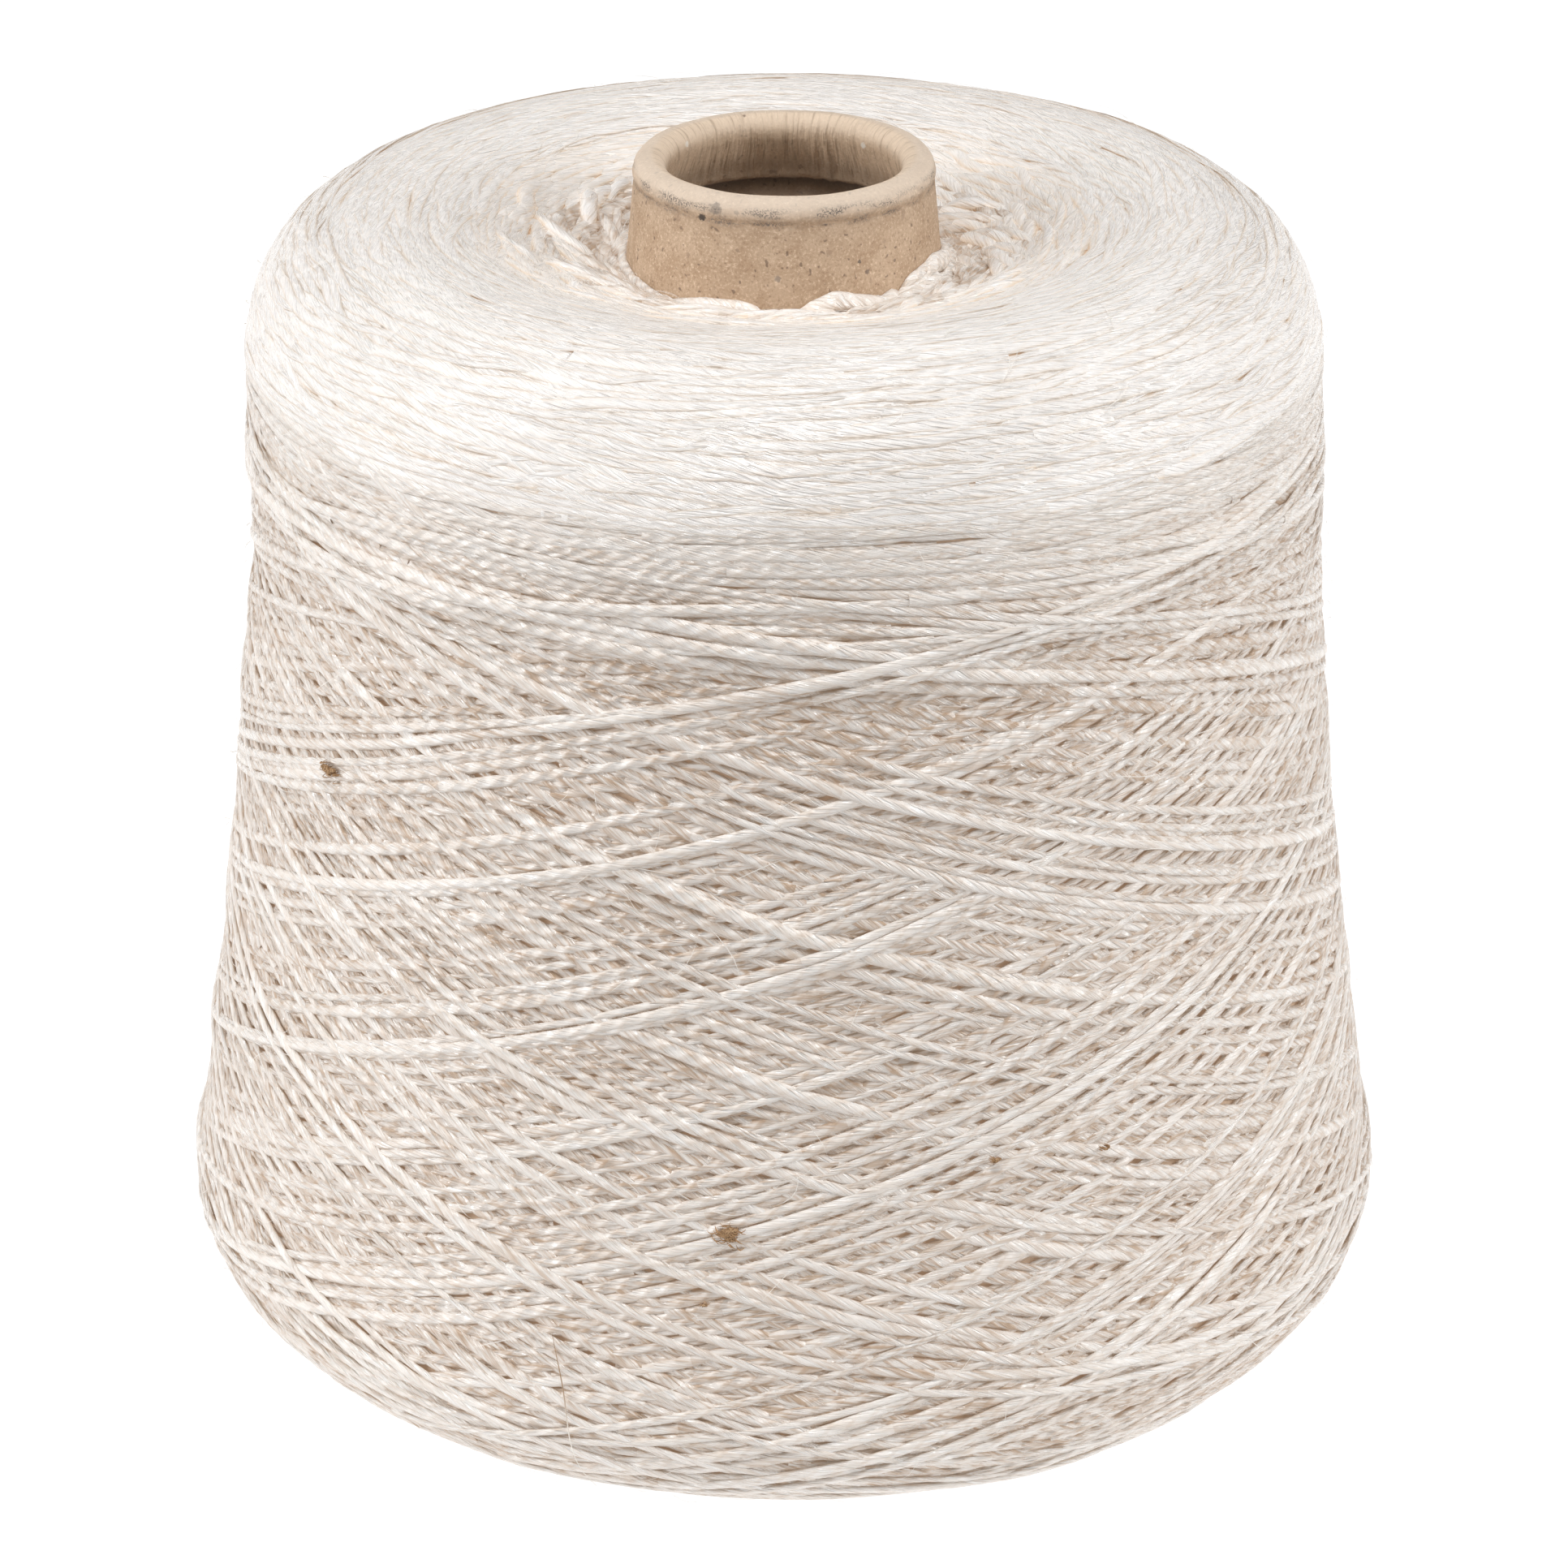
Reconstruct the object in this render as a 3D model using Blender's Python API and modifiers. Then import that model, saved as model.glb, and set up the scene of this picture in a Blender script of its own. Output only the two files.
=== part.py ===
"""A cone of yarn: thick, loosely twisted yarn wound criss-cross on a tapered paper cone.

Metres, +Z up. The origin is the centre of the paper cone's base ring, on the surface
that the cone stands on. The paper cone stands out of the yarn at both ends.
"""

import math

import bpy

# Paper cone: 170 mm long, with a taper of 5 degrees 57 minutes and a rolled-in nose.
CONE_HEIGHT = 0.170
CONE_TAPER = math.tan(math.radians(5.95))
CONE_WALL = 0.0024
CONE_EDGE = 0.0003              # small bevel round the cut base edge
CONE_SIDES = 72

NOSE_ROLL = 0.0022              # radius of the rolled edge's section
NOSE_ROLL_CIRCLE = 0.0174       # radius of the circle that the rolled edge follows
NOSE_ROLL_START = -22.5         # degrees, where the roll leaves the wall, outside
NOSE_ROLL_END = 180.0           # degrees, where it turns down into the bore
NOSE_ROLL_STEPS = 9
FLAP_DROP = 0.0069              # the rolled-in edge hangs this far below the roll's centre
FLAP_FLARE = 0.0019             # and leans this far back towards the wall at its foot
FLAP_EDGE = 0.0003              # bevel of the flap's foot, and the step behind it
FLAP_ROWS = 4
CREASE_RADIUS = 0.01942         # the pressed line under the roll
CREASE_HEIGHT = 0.1666
NECK_RADIUS = 0.01955           # outer radius just under the crease
NECK_HEIGHT = 0.1654

# Yarn: a traverse of 150 mm, wound a little fuller at the base than at the shoulder.
YARN_BASE = 0.0115              # height of the yarn's lowest turns
YARN_GAP = 0.0003               # between the yarn's bore and the paper
SIDE_FOOT_RADIUS = 0.0812
SIDE_FOOT_HEIGHT = 0.0290
SIDE_HEAD_RADIUS = 0.0706
SIDE_HEAD_HEIGHT = 0.1440
SIDE_HOLLOW = 1.6               # power of the side's slightly hollow line
SIDE_ROWS = 34

FOOT_ROUND_RADIUS = 0.0138      # the rounded lower edge, across and up
FOOT_ROUND_HEIGHT = SIDE_FOOT_HEIGHT - YARN_BASE
FOOT_ROWS = 6

HEAD_ROUND_RADIUS = 0.0180      # the rounded shoulder, across and up
HEAD_ROUND_HEIGHT = 0.0193
HEAD_ROWS = 8

COLLAR_HEIGHT = 0.1555          # where the yarn's top face meets the paper
DISH_POWER = 1.4
DISH_ROWS = 8
UNDERSIDE_RISE = 0.0025         # the underside is drawn up a little towards the paper
UNDERSIDE_ROWS = 3
YARN_SIDES = 80

# Relief of the winding, sunk from the outline above: two crossing families of ridges on
# the side, two flatter ones on the shoulder and the top face, and locks that crowd up and
# down against the paper.
RIDGE_STARTS = 8
RIDGE_RISE = 0.020              # height between one ridge and the next of its family
RIDGE_DEPTH = 0.0020
RIDGE_FADE_FROM = 0.128
RIDGE_FADE_TO = 0.146
RIDGE_FOOT_FROM = 0.012
RIDGE_FOOT_TO = 0.024
RELIEF_MARGIN = 0.020           # width over which all relief dies out towards the paper
WAVE_STARTS = 4
WAVE_PITCH = 0.017              # along the section, from one wave to the next
WAVE_DEPTH = 0.0012
LOCK_HEIGHT = 0.0011
LOCK_WAVES = ((7, 0.6, 0.5), (11, 2.1, 0.3), (4, 4.0, 0.35))    # cycles, phase, share
LUMP_HEIGHT = 0.0005
LUMP_WAVES = ((4, 21.0, 0.9), (6, -34.0, 2.3), (2, 47.0, 4.1))  # cycles, turn per metre, phase

KRAFT_PAPER = (0.50, 0.36, 0.23, 1.0)
NATURAL_YARN = (0.86, 0.82, 0.76, 1.0)


def clear_scene():
    for old in list(bpy.data.objects):
        bpy.data.objects.remove(old, do_unlink=True)


def plain_material(name, colour, roughness):
    material = bpy.data.materials.new(name)
    material.use_nodes = True
    shader = material.node_tree.nodes["Principled BSDF"]
    shader.inputs["Base Color"].default_value = colour
    shader.inputs["Roughness"].default_value = roughness
    shader.inputs["Metallic"].default_value = 0.0
    return material


def turned(name, outline, sides, material, collection):
    """Turn a closed outline of (radius, height) points about Z."""
    mesh = bpy.data.meshes.new(name)
    points = [(radius, 0.0, height) for radius, height in outline]
    count = len(points)
    mesh.from_pydata(points, [(i, (i + 1) % count) for i in range(count)], [])
    piece = bpy.data.objects.new(name, mesh)
    collection.objects.link(piece)
    screw = piece.modifiers.new("Turn", "SCREW")
    screw.axis = "Z"
    screw.angle = math.tau
    screw.steps = sides
    screw.render_steps = sides
    screw.use_merge_vertices = True
    screw.merge_threshold = 0.00001
    screw.use_smooth_shade = True
    piece.data.materials.append(material)
    return piece


def fixed_mesh(piece):
    """Swap a modified object's mesh for the finished one, so its points can be moved."""
    bpy.context.view_layer.update()
    depsgraph = bpy.context.evaluated_depsgraph_get()
    finished = bpy.data.meshes.new_from_object(piece.evaluated_get(depsgraph))
    finished.name = piece.name
    piece.modifiers.clear()
    piece.data = finished


def arc(centre, across, up, start, end, steps):
    """Points of an elliptical arc in the section, angles in degrees, both ends included."""
    points = []
    for step in range(steps + 1):
        angle = math.radians(start + (end - start) * step / steps)
        radius = centre[0] + across * math.cos(angle)
        height = centre[1] + up * math.sin(angle)
        points.append((radius, height))
    return points


def smooth_step(value, low, high):
    share = min(max((value - low) / (high - low), 0.0), 1.0)
    return share * share * (3.0 - 2.0 * share)


def cone_radius(height):
    """Outer radius of the paper wall."""
    return NECK_RADIUS + (NECK_HEIGHT - height) * CONE_TAPER


def flap_outline(roll_centre):
    """The rolled-in edge that hangs inside the nose, from its foot up to the roll."""
    bore = roll_centre[0] - NOSE_ROLL
    foot = roll_centre[1] - FLAP_DROP
    step = foot - 2.0 * FLAP_EDGE
    flap = [(cone_radius(step) - CONE_WALL, step),
            (bore + FLAP_FLARE + FLAP_EDGE, foot - FLAP_EDGE)]
    for row in range(FLAP_ROWS):
        share = row / FLAP_ROWS
        lean = 1.0 - smooth_step(share, 0.0, 1.0)
        flap.append((bore + FLAP_FLARE * lean, foot + FLAP_DROP * share))
    return flap


def cone_outline():
    roll_centre = (NOSE_ROLL_CIRCLE, CONE_HEIGHT - NOSE_ROLL)
    roll = arc(roll_centre, NOSE_ROLL, NOSE_ROLL, NOSE_ROLL_END, NOSE_ROLL_START,
               NOSE_ROLL_STEPS)
    foot = cone_radius(0.0)
    outside = [(CREASE_RADIUS, CREASE_HEIGHT), (NECK_RADIUS, NECK_HEIGHT),
               (cone_radius(CONE_EDGE), CONE_EDGE), (foot - CONE_EDGE, 0.0)]
    inside = [(foot - CONE_WALL + CONE_EDGE, 0.0),
              (cone_radius(CONE_EDGE) - CONE_WALL, CONE_EDGE)]
    return flap_outline(roll_centre) + roll + outside + inside


def side_radius(height):
    """The wound side: nearly upright at the shoulder, fuller towards the base."""
    share = (height - SIDE_FOOT_HEIGHT) / (SIDE_HEAD_HEIGHT - SIDE_FOOT_HEIGHT)
    fullness = max(1.0 - share, 0.0) ** SIDE_HOLLOW
    return SIDE_HEAD_RADIUS + (SIDE_FOOT_RADIUS - SIDE_HEAD_RADIUS) * fullness


def yarn_outline():
    head_centre = (SIDE_HEAD_RADIUS - HEAD_ROUND_RADIUS, SIDE_HEAD_HEIGHT)
    foot_centre = (SIDE_FOOT_RADIUS - FOOT_ROUND_RADIUS, SIDE_FOOT_HEIGHT)
    crest = head_centre[1] + HEAD_ROUND_HEIGHT
    collar = cone_radius(COLLAR_HEIGHT) + YARN_GAP

    face = []
    for row in range(DISH_ROWS):
        share = 1.0 - row / DISH_ROWS
        radius = head_centre[0] + (collar - head_centre[0]) * share
        face.append((radius, crest - (crest - COLLAR_HEIGHT) * share ** DISH_POWER))

    head = arc(head_centre, HEAD_ROUND_RADIUS, HEAD_ROUND_HEIGHT, 90.0, 0.0, HEAD_ROWS)
    side = []
    for row in range(1, SIDE_ROWS):
        height = SIDE_HEAD_HEIGHT + (SIDE_FOOT_HEIGHT - SIDE_HEAD_HEIGHT) * row / SIDE_ROWS
        side.append((side_radius(height), height))
    foot = arc(foot_centre, FOOT_ROUND_RADIUS, FOOT_ROUND_HEIGHT, 0.0, -90.0, FOOT_ROWS)

    bore_foot = YARN_BASE + UNDERSIDE_RISE
    bore = cone_radius(bore_foot) + YARN_GAP
    underside = []
    for row in range(1, UNDERSIDE_ROWS + 1):
        share = row / UNDERSIDE_ROWS
        radius = foot_centre[0] + (bore - foot_centre[0]) * share
        underside.append((radius, YARN_BASE + UNDERSIDE_RISE * share * share))
    return face + head + side + foot + underside


def wave_sum(waves, angle):
    return sum(share * math.sin(cycles * angle + phase) for cycles, phase, share in waves)


def crossing_ridges(starts, angle, climb):
    """From 0 on the ridges of two families that cross, to -1 in the pits between them."""
    rising = math.cos(starts * angle + climb)
    falling = math.cos(starts * angle - climb)
    return 0.5 * max(rising, falling) - 0.5


def side_relief(angle, height):
    """Ridges of the crossing turns, and the slow lumps of a hand-filled package."""
    ridges = crossing_ridges(RIDGE_STARTS, angle, math.tau * height / RIDGE_RISE)
    lumps = sum(math.sin(cycles * angle + turn * height + phase)
                for cycles, turn, phase in LUMP_WAVES)
    shown = smooth_step(height, RIDGE_FOOT_FROM, RIDGE_FOOT_TO)
    shown *= 1.0 - smooth_step(height, RIDGE_FADE_FROM, RIDGE_FADE_TO)
    return RIDGE_DEPTH * ridges * shown + LUMP_HEIGHT * lumps / len(LUMP_WAVES)


def head_relief(angle, radius, height):
    """Waves of the turns that lie nearly level, over the shoulder and the top face."""
    along = (SIDE_HEAD_RADIUS - radius) + height
    waves = crossing_ridges(WAVE_STARTS, angle, math.tau * along / WAVE_PITCH)
    return WAVE_DEPTH * waves * smooth_step(height, RIDGE_FADE_FROM, RIDGE_FADE_TO)


def raise_winding(piece):
    """Move the points of the yarn's outside along their normals, and its top edge by the
    locks that lie against the paper."""
    crest_radius = SIDE_HEAD_RADIUS - HEAD_ROUND_RADIUS
    foot_radius = SIDE_FOOT_RADIUS - FOOT_ROUND_RADIUS
    collar = cone_radius(COLLAR_HEIGHT) + YARN_GAP
    mesh = piece.data
    normals = [vertex.normal.copy() for vertex in mesh.vertices]
    for vertex, normal in zip(mesh.vertices, normals):
        place = vertex.co
        radius = math.hypot(place.x, place.y)
        angle = math.atan2(place.y, place.x)
        outside = smooth_step(radius, foot_radius - RELIEF_MARGIN, foot_radius)
        if place.z > SIDE_HEAD_HEIGHT:
            outside = smooth_step(radius, collar, collar + RELIEF_MARGIN)
        lift = side_relief(angle, place.z) + head_relief(angle, radius, place.z)
        place += normal * lift * outside
        if place.z > SIDE_HEAD_HEIGHT and radius < crest_radius:
            nearness = (crest_radius - radius) / (crest_radius - collar)
            place.z += LOCK_HEIGHT * wave_sum(LOCK_WAVES, angle) * nearness ** 2
            if radius < collar + YARN_GAP:
                edge = cone_radius(place.z) + YARN_GAP
                place.x = edge * math.cos(angle)
                place.y = edge * math.sin(angle)


def make_paper_cone(collection):
    material = plain_material("kraft_paper", KRAFT_PAPER, 0.85)
    cone = turned("paper_cone", cone_outline(), CONE_SIDES, material, collection)
    fixed_mesh(cone)
    cone.data.set_sharp_from_angle(angle=math.radians(40.0))
    return cone


def make_wound_yarn(collection):
    material = plain_material("natural_yarn", NATURAL_YARN, 0.9)
    yarn = turned("wound_yarn", yarn_outline(), YARN_SIDES, material, collection)
    fixed_mesh(yarn)
    raise_winding(yarn)
    return yarn


def main():
    clear_scene()
    collection = bpy.data.collections.new("yarn_cone")
    bpy.context.scene.collection.children.link(collection)
    make_paper_cone(collection)
    make_wound_yarn(collection)
    bpy.context.view_layer.update()


main()
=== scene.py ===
"""Looks for the cone of yarn: every visible turn of the yarn as its own strand, laid one on
another over a soft core, and a kraft paper cone with a rolled-in nose.

The winding is laid on a height map. Its first axis goes round the package, and its second
along the package's section: from the collar over the top, down the side and under to the
bore. A place on it is (theta, u), an angle and a distance along the section, and lift is the
height above the section. Lengths are in metres unless a comment says otherwise."""

import math
from typing import NamedTuple

import bpy
import numpy as np
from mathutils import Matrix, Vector


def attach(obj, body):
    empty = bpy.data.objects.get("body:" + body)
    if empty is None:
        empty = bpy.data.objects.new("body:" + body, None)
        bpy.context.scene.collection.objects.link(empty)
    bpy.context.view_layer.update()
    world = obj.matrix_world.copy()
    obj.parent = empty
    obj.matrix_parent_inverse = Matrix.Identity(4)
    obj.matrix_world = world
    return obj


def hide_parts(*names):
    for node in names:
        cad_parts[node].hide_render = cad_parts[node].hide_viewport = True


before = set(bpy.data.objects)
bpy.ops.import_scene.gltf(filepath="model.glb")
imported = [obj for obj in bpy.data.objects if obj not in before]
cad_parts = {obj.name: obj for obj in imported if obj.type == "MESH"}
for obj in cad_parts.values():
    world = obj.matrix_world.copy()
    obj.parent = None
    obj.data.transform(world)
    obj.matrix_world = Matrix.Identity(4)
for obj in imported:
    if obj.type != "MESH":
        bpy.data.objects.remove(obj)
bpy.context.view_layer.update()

# ---------------------------------------------------------------- sizes, as in the CAD model
CONE_HEIGHT = 0.170
CONE_TAPER = math.tan(math.radians(5.95))
CONE_WALL = 0.0024
NOSE_ROLL = 0.0022
NOSE_ROLL_CIRCLE = 0.0174
FLAP_DROP = 0.0069
FLAP_FLARE = 0.0019
CREASE_RADIUS = 0.01942
CREASE_HEIGHT = 0.1666
NECK_RADIUS = 0.01955
NECK_HEIGHT = 0.1654
YARN_BASE = 0.0115
YARN_GAP = 0.0003
SIDE_FOOT_RADIUS = 0.0812
SIDE_FOOT_HEIGHT = 0.0290
SIDE_HEAD_RADIUS = 0.0706
SIDE_HEAD_HEIGHT = 0.1440
SIDE_HOLLOW = 1.6
FOOT_ROUND_RADIUS = 0.0138
HEAD_ROUND_RADIUS = 0.0180
HEAD_ROUND_HEIGHT = 0.0193
COLLAR_HEIGHT = 0.1555
DISH_POWER = 1.4
UNDERSIDE_RISE = 0.0025

# ---------------------------------------------------------------- the winding
SECTION_STEP = 0.0005       # cell of the height map along the section
ROUND_CELLS = 1024          # and round the axis
CELL_TURN = math.tau / ROUND_CELLS
SIDE_RADIUS = 0.075         # mean radius of the side
SIDE_BEYOND = 0.060         # a height on the side is looked up beyond this radius
SINK = 0.72                 # share of its thickness that a strand sinks into what it lies on
ARC_SINK = 0.62             # and the same for the short arcs of the ends
CARRIED = 0.75              # share of its width that a strand rests on
BRIDGE = 0.0030             # a strand spans hollows shorter than about twice this
TAUT = 0.0030               # and is straight over about this length
JOIN = 0.010                # length over which a strand comes level after its turn
LAYERS = 10                 # traverses and arcs are laid by turns
PERIODS = 230               # up and down traverses
TRIES = 5                   # places tried for each strand
WINDING_ANGLE = 19.0        # degrees between a traverse and the package's circles
ANGLE_SPREAD = 0.6
HEAD_EASING = 0.024         # length over which a traverse flattens out towards the shoulder
FOOT_EASING = 0.026         # and towards the foot
FLATTEST = 0.0004           # square of the share of its slope that it keeps there
BUNDLE_SHARES = (0.55, 0.35, 0.10)      # of single, double and triple strands
BUNDLE_SPACING = (0.0015, 0.0030)
TRAVERSE_WIDTH = (0.0011, 0.0018)
TRAVERSE_FLATNESS = 0.58    # thickness for each unit of width
TRAVERSE_THICKNESS = (0.0006, 0.0012)
TRAVERSE_RING = 0.0034      # distance between a traverse's points
FOOT_DIVE = 0.0014          # depth of its turn at the foot, under the rest
FOOT_DIVE_REACH = 0.015
ARC_FLATNESS = 0.44         # the same for an arc, which is thicker where it stands proud
PROUD_FLATNESS = 1200.0     # by this for each metre
ARC_WIDTH = (0.0008, 0.0034)            # before it thins out at its ends
ARC_THICKNESS = (0.0004, 0.0016)
ARC_TAPER = 0.005           # length over which it thins out
ARC_DIVE = 0.0022           # depth of its ends under the rest
ARC_DIVE_REACH = 0.008
TILE = 0.240                # length of yarn along one row of the yarn's texture
KINDS = 16                  # rows of the texture that differ in their fibres
GROUPS = 5                  # sets of such rows: for the side's top, lower and deepest strands,
                            # and for the top and lower strands of the outer face
ROW_MARGIN = 0.04           # share of a row that is left free below its strand
ROW_USED = 0.92             # and share that the strand takes up
ARCH = 6                    # points across a strand's visible upper half
HIDDEN_BY = 0.0001          # a strand this far under its neighbours can't be seen
PIECE_FACES = 95000         # quads to each joined mesh of strands
FIBRES = 1400               # loose fibres
LEVEL = 0.010               # the winding is level over this distance


def cone_radius(height):
    """Outer radius of the paper cone at a height."""
    return NECK_RADIUS + (NECK_HEIGHT - height) * CONE_TAPER


def blend(value, low, high):
    """0 below low, 1 above high and smooth between."""
    share = np.clip((value - low) / (high - low), 0.0, 1.0)
    return share * share * (3.0 - 2.0 * share)


def smoothed(values, reach):
    """Three passes of a moving average that reaches this many cells either way."""
    for _ in range(3):
        padded = np.concatenate([np.full(reach, values[0]), values, np.full(reach, values[-1])])
        total = np.cumsum(np.concatenate([[0.0], padded]))
        width = 2 * reach + 1
        values = (total[width:] - total[:-width]) / width
    return values


def yarn_section():
    """Radius, height and outward normal of the yarn's section at even steps, from the collar
    over the top, down the side and under to the bore."""
    head = SIDE_HEAD_RADIUS - HEAD_ROUND_RADIUS
    foot = SIDE_FOOT_RADIUS - FOOT_ROUND_RADIUS
    crest = SIDE_HEAD_HEIGHT + HEAD_ROUND_HEIGHT
    collar = cone_radius(COLLAR_HEIGHT) + YARN_GAP
    bore = cone_radius(YARN_BASE + UNDERSIDE_RISE) + YARN_GAP
    share = np.linspace(0.0, 1.0, 400)
    turn = share * math.pi / 2
    dish = 1.0 - share
    side = SIDE_HEAD_HEIGHT + (SIDE_FOOT_HEIGHT - SIDE_HEAD_HEIGHT) * share
    fullness = share ** SIDE_HOLLOW
    radius = np.concatenate([
        head + (collar - head) * dish,
        head + HEAD_ROUND_RADIUS * np.sin(turn),
        SIDE_HEAD_RADIUS + (SIDE_FOOT_RADIUS - SIDE_HEAD_RADIUS) * fullness,
        foot + FOOT_ROUND_RADIUS * np.cos(turn),
        foot + (bore - foot) * share])
    height = np.concatenate([
        crest - (crest - COLLAR_HEIGHT) * dish ** DISH_POWER,
        SIDE_HEAD_HEIGHT + HEAD_ROUND_HEIGHT * np.cos(turn),
        side,
        SIDE_FOOT_HEIGHT - (SIDE_FOOT_HEIGHT - YARN_BASE) * np.sin(turn),
        YARN_BASE + UNDERSIDE_RISE * share ** 2])
    length = np.concatenate([[0.0], np.cumsum(np.hypot(np.diff(radius), np.diff(height)))])
    even = np.arange(0.0, length[-1], SECTION_STEP)
    radius = smoothed(np.interp(even, length, radius), 3)
    height = smoothed(np.interp(even, length, height), 3)
    along_r, along_z = smoothed(np.gradient(radius), 4), smoothed(np.gradient(height), 4)
    size = np.hypot(along_r, along_z)
    return even, radius, height, -along_z / size, along_r / size


SECTION_U, SECTION_R, SECTION_Z, NORMAL_R, NORMAL_Z = yarn_section()
SECTION_LENGTH = SECTION_U[-1]
CELLS = len(SECTION_U)


def section_at_height(height):
    """Distance along the section of a height on the package's side."""
    side = np.where(SECTION_R > SIDE_BEYOND)[0]
    return float(np.interp(-height, -SECTION_Z[side], SECTION_U[side]))


CREST_U = float(SECTION_U[np.argmax(SECTION_Z)])
SHOULDER_U = section_at_height(SIDE_HEAD_HEIGHT)
FOOT_U = section_at_height(SIDE_FOOT_HEIGHT)
UNDER_U = float(SECTION_U[np.argmin(SECTION_Z)])


def place(theta, u, lift):
    """Points in space of places on the yarn's section, lifted off it along its normal."""
    radius = np.interp(u, SECTION_U, SECTION_R) + lift * np.interp(u, SECTION_U, NORMAL_R)
    height = np.interp(u, SECTION_U, SECTION_Z) + lift * np.interp(u, SECTION_U, NORMAL_Z)
    return np.stack([radius * np.cos(theta), radius * np.sin(theta), height], axis=-1)


def wander(rng, count, spacing, reach=1.0):
    """Smooth random values about zero, a new one every so many cells."""
    knots = rng.normal(0.0, reach, int(count / spacing) + 4)
    x = np.arange(count) / spacing
    base = np.floor(x).astype(int)
    share = blend(x - base, 0.0, 1.0)
    return knots[base] * (1.0 - share) + knots[base + 1] * share


class Winding:
    """A height map of the yarn laid so far, and the strands themselves."""

    def __init__(self, seed):
        self.rng = np.random.default_rng(seed)
        self.top = np.zeros((ROUND_CELLS, CELLS))
        self.strands = []

    def support(self, cells, rows, across, cell):
        """The height at which a taut strand rests, for each cell of its path."""
        here = self.top[cells[:, None], rows]
        middle = self.top[cells, rows[:, rows.shape[1] // 2]]
        support = np.where(np.abs(across) < CARRIED, here, -1.0).max(axis=1)
        support = np.maximum(support, middle)
        span = max(1, int(BRIDGE / cell))
        padded = np.pad(support, span, mode="edge")
        windows = np.lib.stride_tricks.sliding_window_view(padded, 2 * span + 1)
        return smoothed(windows.max(axis=1), max(1, int(TAUT / cell)))

    def lay(self, start, u, width, thick, dive, sink, ring, height_from=None):
        """Lay one strand from cell start round the axis; u, width and thick for each cell."""
        count = len(u)
        cells = (start + np.arange(count)) % ROUND_CELLS
        radius = np.interp(u, SECTION_U, SECTION_R)
        cell = CELL_TURN * float(radius.mean())
        slope = np.gradient(u) / (radius * CELL_TURN)
        lean = 1.0 / np.sqrt(1.0 + slope ** 2)
        middle = np.rint(u / SECTION_STEP).astype(int)
        reach = int(math.ceil(width.max() / 2 / lean.min() / SECTION_STEP)) + 1
        rows = np.clip(middle[:, None] + np.arange(-reach, reach + 1)[None, :], 0, CELLS - 1)
        across = (rows * SECTION_STEP - u[:, None]) * lean[:, None] / (width[:, None] / 2)
        height = self.support(cells, rows, across, cell) + thick * (0.5 - sink) - dive
        if height_from is not None:
            fade = np.exp(-np.arange(count) * cell / JOIN)
            height += (height_from - height[0]) * fade
        rise = np.sqrt(np.clip(1.0 - across ** 2, 0.0, None)) * thick[:, None] / 2
        cover = np.where(np.abs(across) < 1.0, height[:, None] + rise, -1.0)
        np.maximum.at(self.top, (np.broadcast_to(cells[:, None], rows.shape), rows), cover)
        every = max(1, int(round(ring / cell)))
        keep = np.unique(np.append(np.arange(0, count, every), count - 1))
        self.strands.append(dict(
            theta=(start + keep) * CELL_TURN, u=u[keep], height=height[keep],
            width=width[keep], thick=thick[keep], ring=ring,
            lane=int(self.rng.integers(KINDS)), along=int(self.rng.integers(1000))))
        return height[-1]


def lowest(choices):
    """The choice that lies lowest, so that the package stays level."""
    return min(choices, key=lambda choice: choice[0])


def level_under(winding, start, u):
    """Mean height of what lies under a path, over every fourth cell."""
    cells = (start + np.arange(0, len(u), 4)) % ROUND_CELLS
    rows = np.clip(np.rint(u[::4] / SECTION_STEP).astype(int), 0, CELLS - 1)
    return winding.top[cells, rows].mean()


def traverse(foot_turn, head_turn, slope, rising):
    """Place along the section for each cell of one traverse between its two turning points.
    The slope eases off towards each turn, far more over the shoulder than at the foot."""
    u = np.linspace(head_turn, foot_turn, 700)
    from_head = np.clip((u - head_turn) / HEAD_EASING, FLATTEST, 1.0)
    from_foot = np.clip((foot_turn - u) / FOOT_EASING, FLATTEST, 1.0)
    local = slope * np.sqrt(from_head * from_foot)
    turning = 1 / (local * np.interp(u, SECTION_U, SECTION_R))
    middle = 0.5 * (turning[1:] + turning[:-1])
    angle = np.concatenate([[0.0], np.cumsum(np.diff(u) * middle)])
    u_at = np.interp(np.arange(0.0, angle[-1], CELL_TURN), angle, u)
    return u_at[::-1].copy() if rising else u_at


def traverse_choice(winding, period):
    """A place for one up and down traverse. The later ones turn below the shoulder."""
    rng = winding.rng
    start = int(rng.integers(ROUND_CELLS))
    slope = math.tan(math.radians(rng.normal(WINDING_ANGLE, ANGLE_SPREAD)))
    head = rng.uniform(CREST_U, SHOULDER_U + 0.006)
    if period > 0.5 * PERIODS:
        head = SHOULDER_U + rng.uniform(0.002, 0.013)
    up = traverse(rng.uniform(FOOT_U + 0.002, UNDER_U - 0.002), head, slope, True)
    down = traverse(rng.uniform(FOOT_U + 0.002, UNDER_U - 0.002), head, slope, False)
    return level_under(winding, start, np.concatenate([up, down[1:]])), start, up, down


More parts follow.
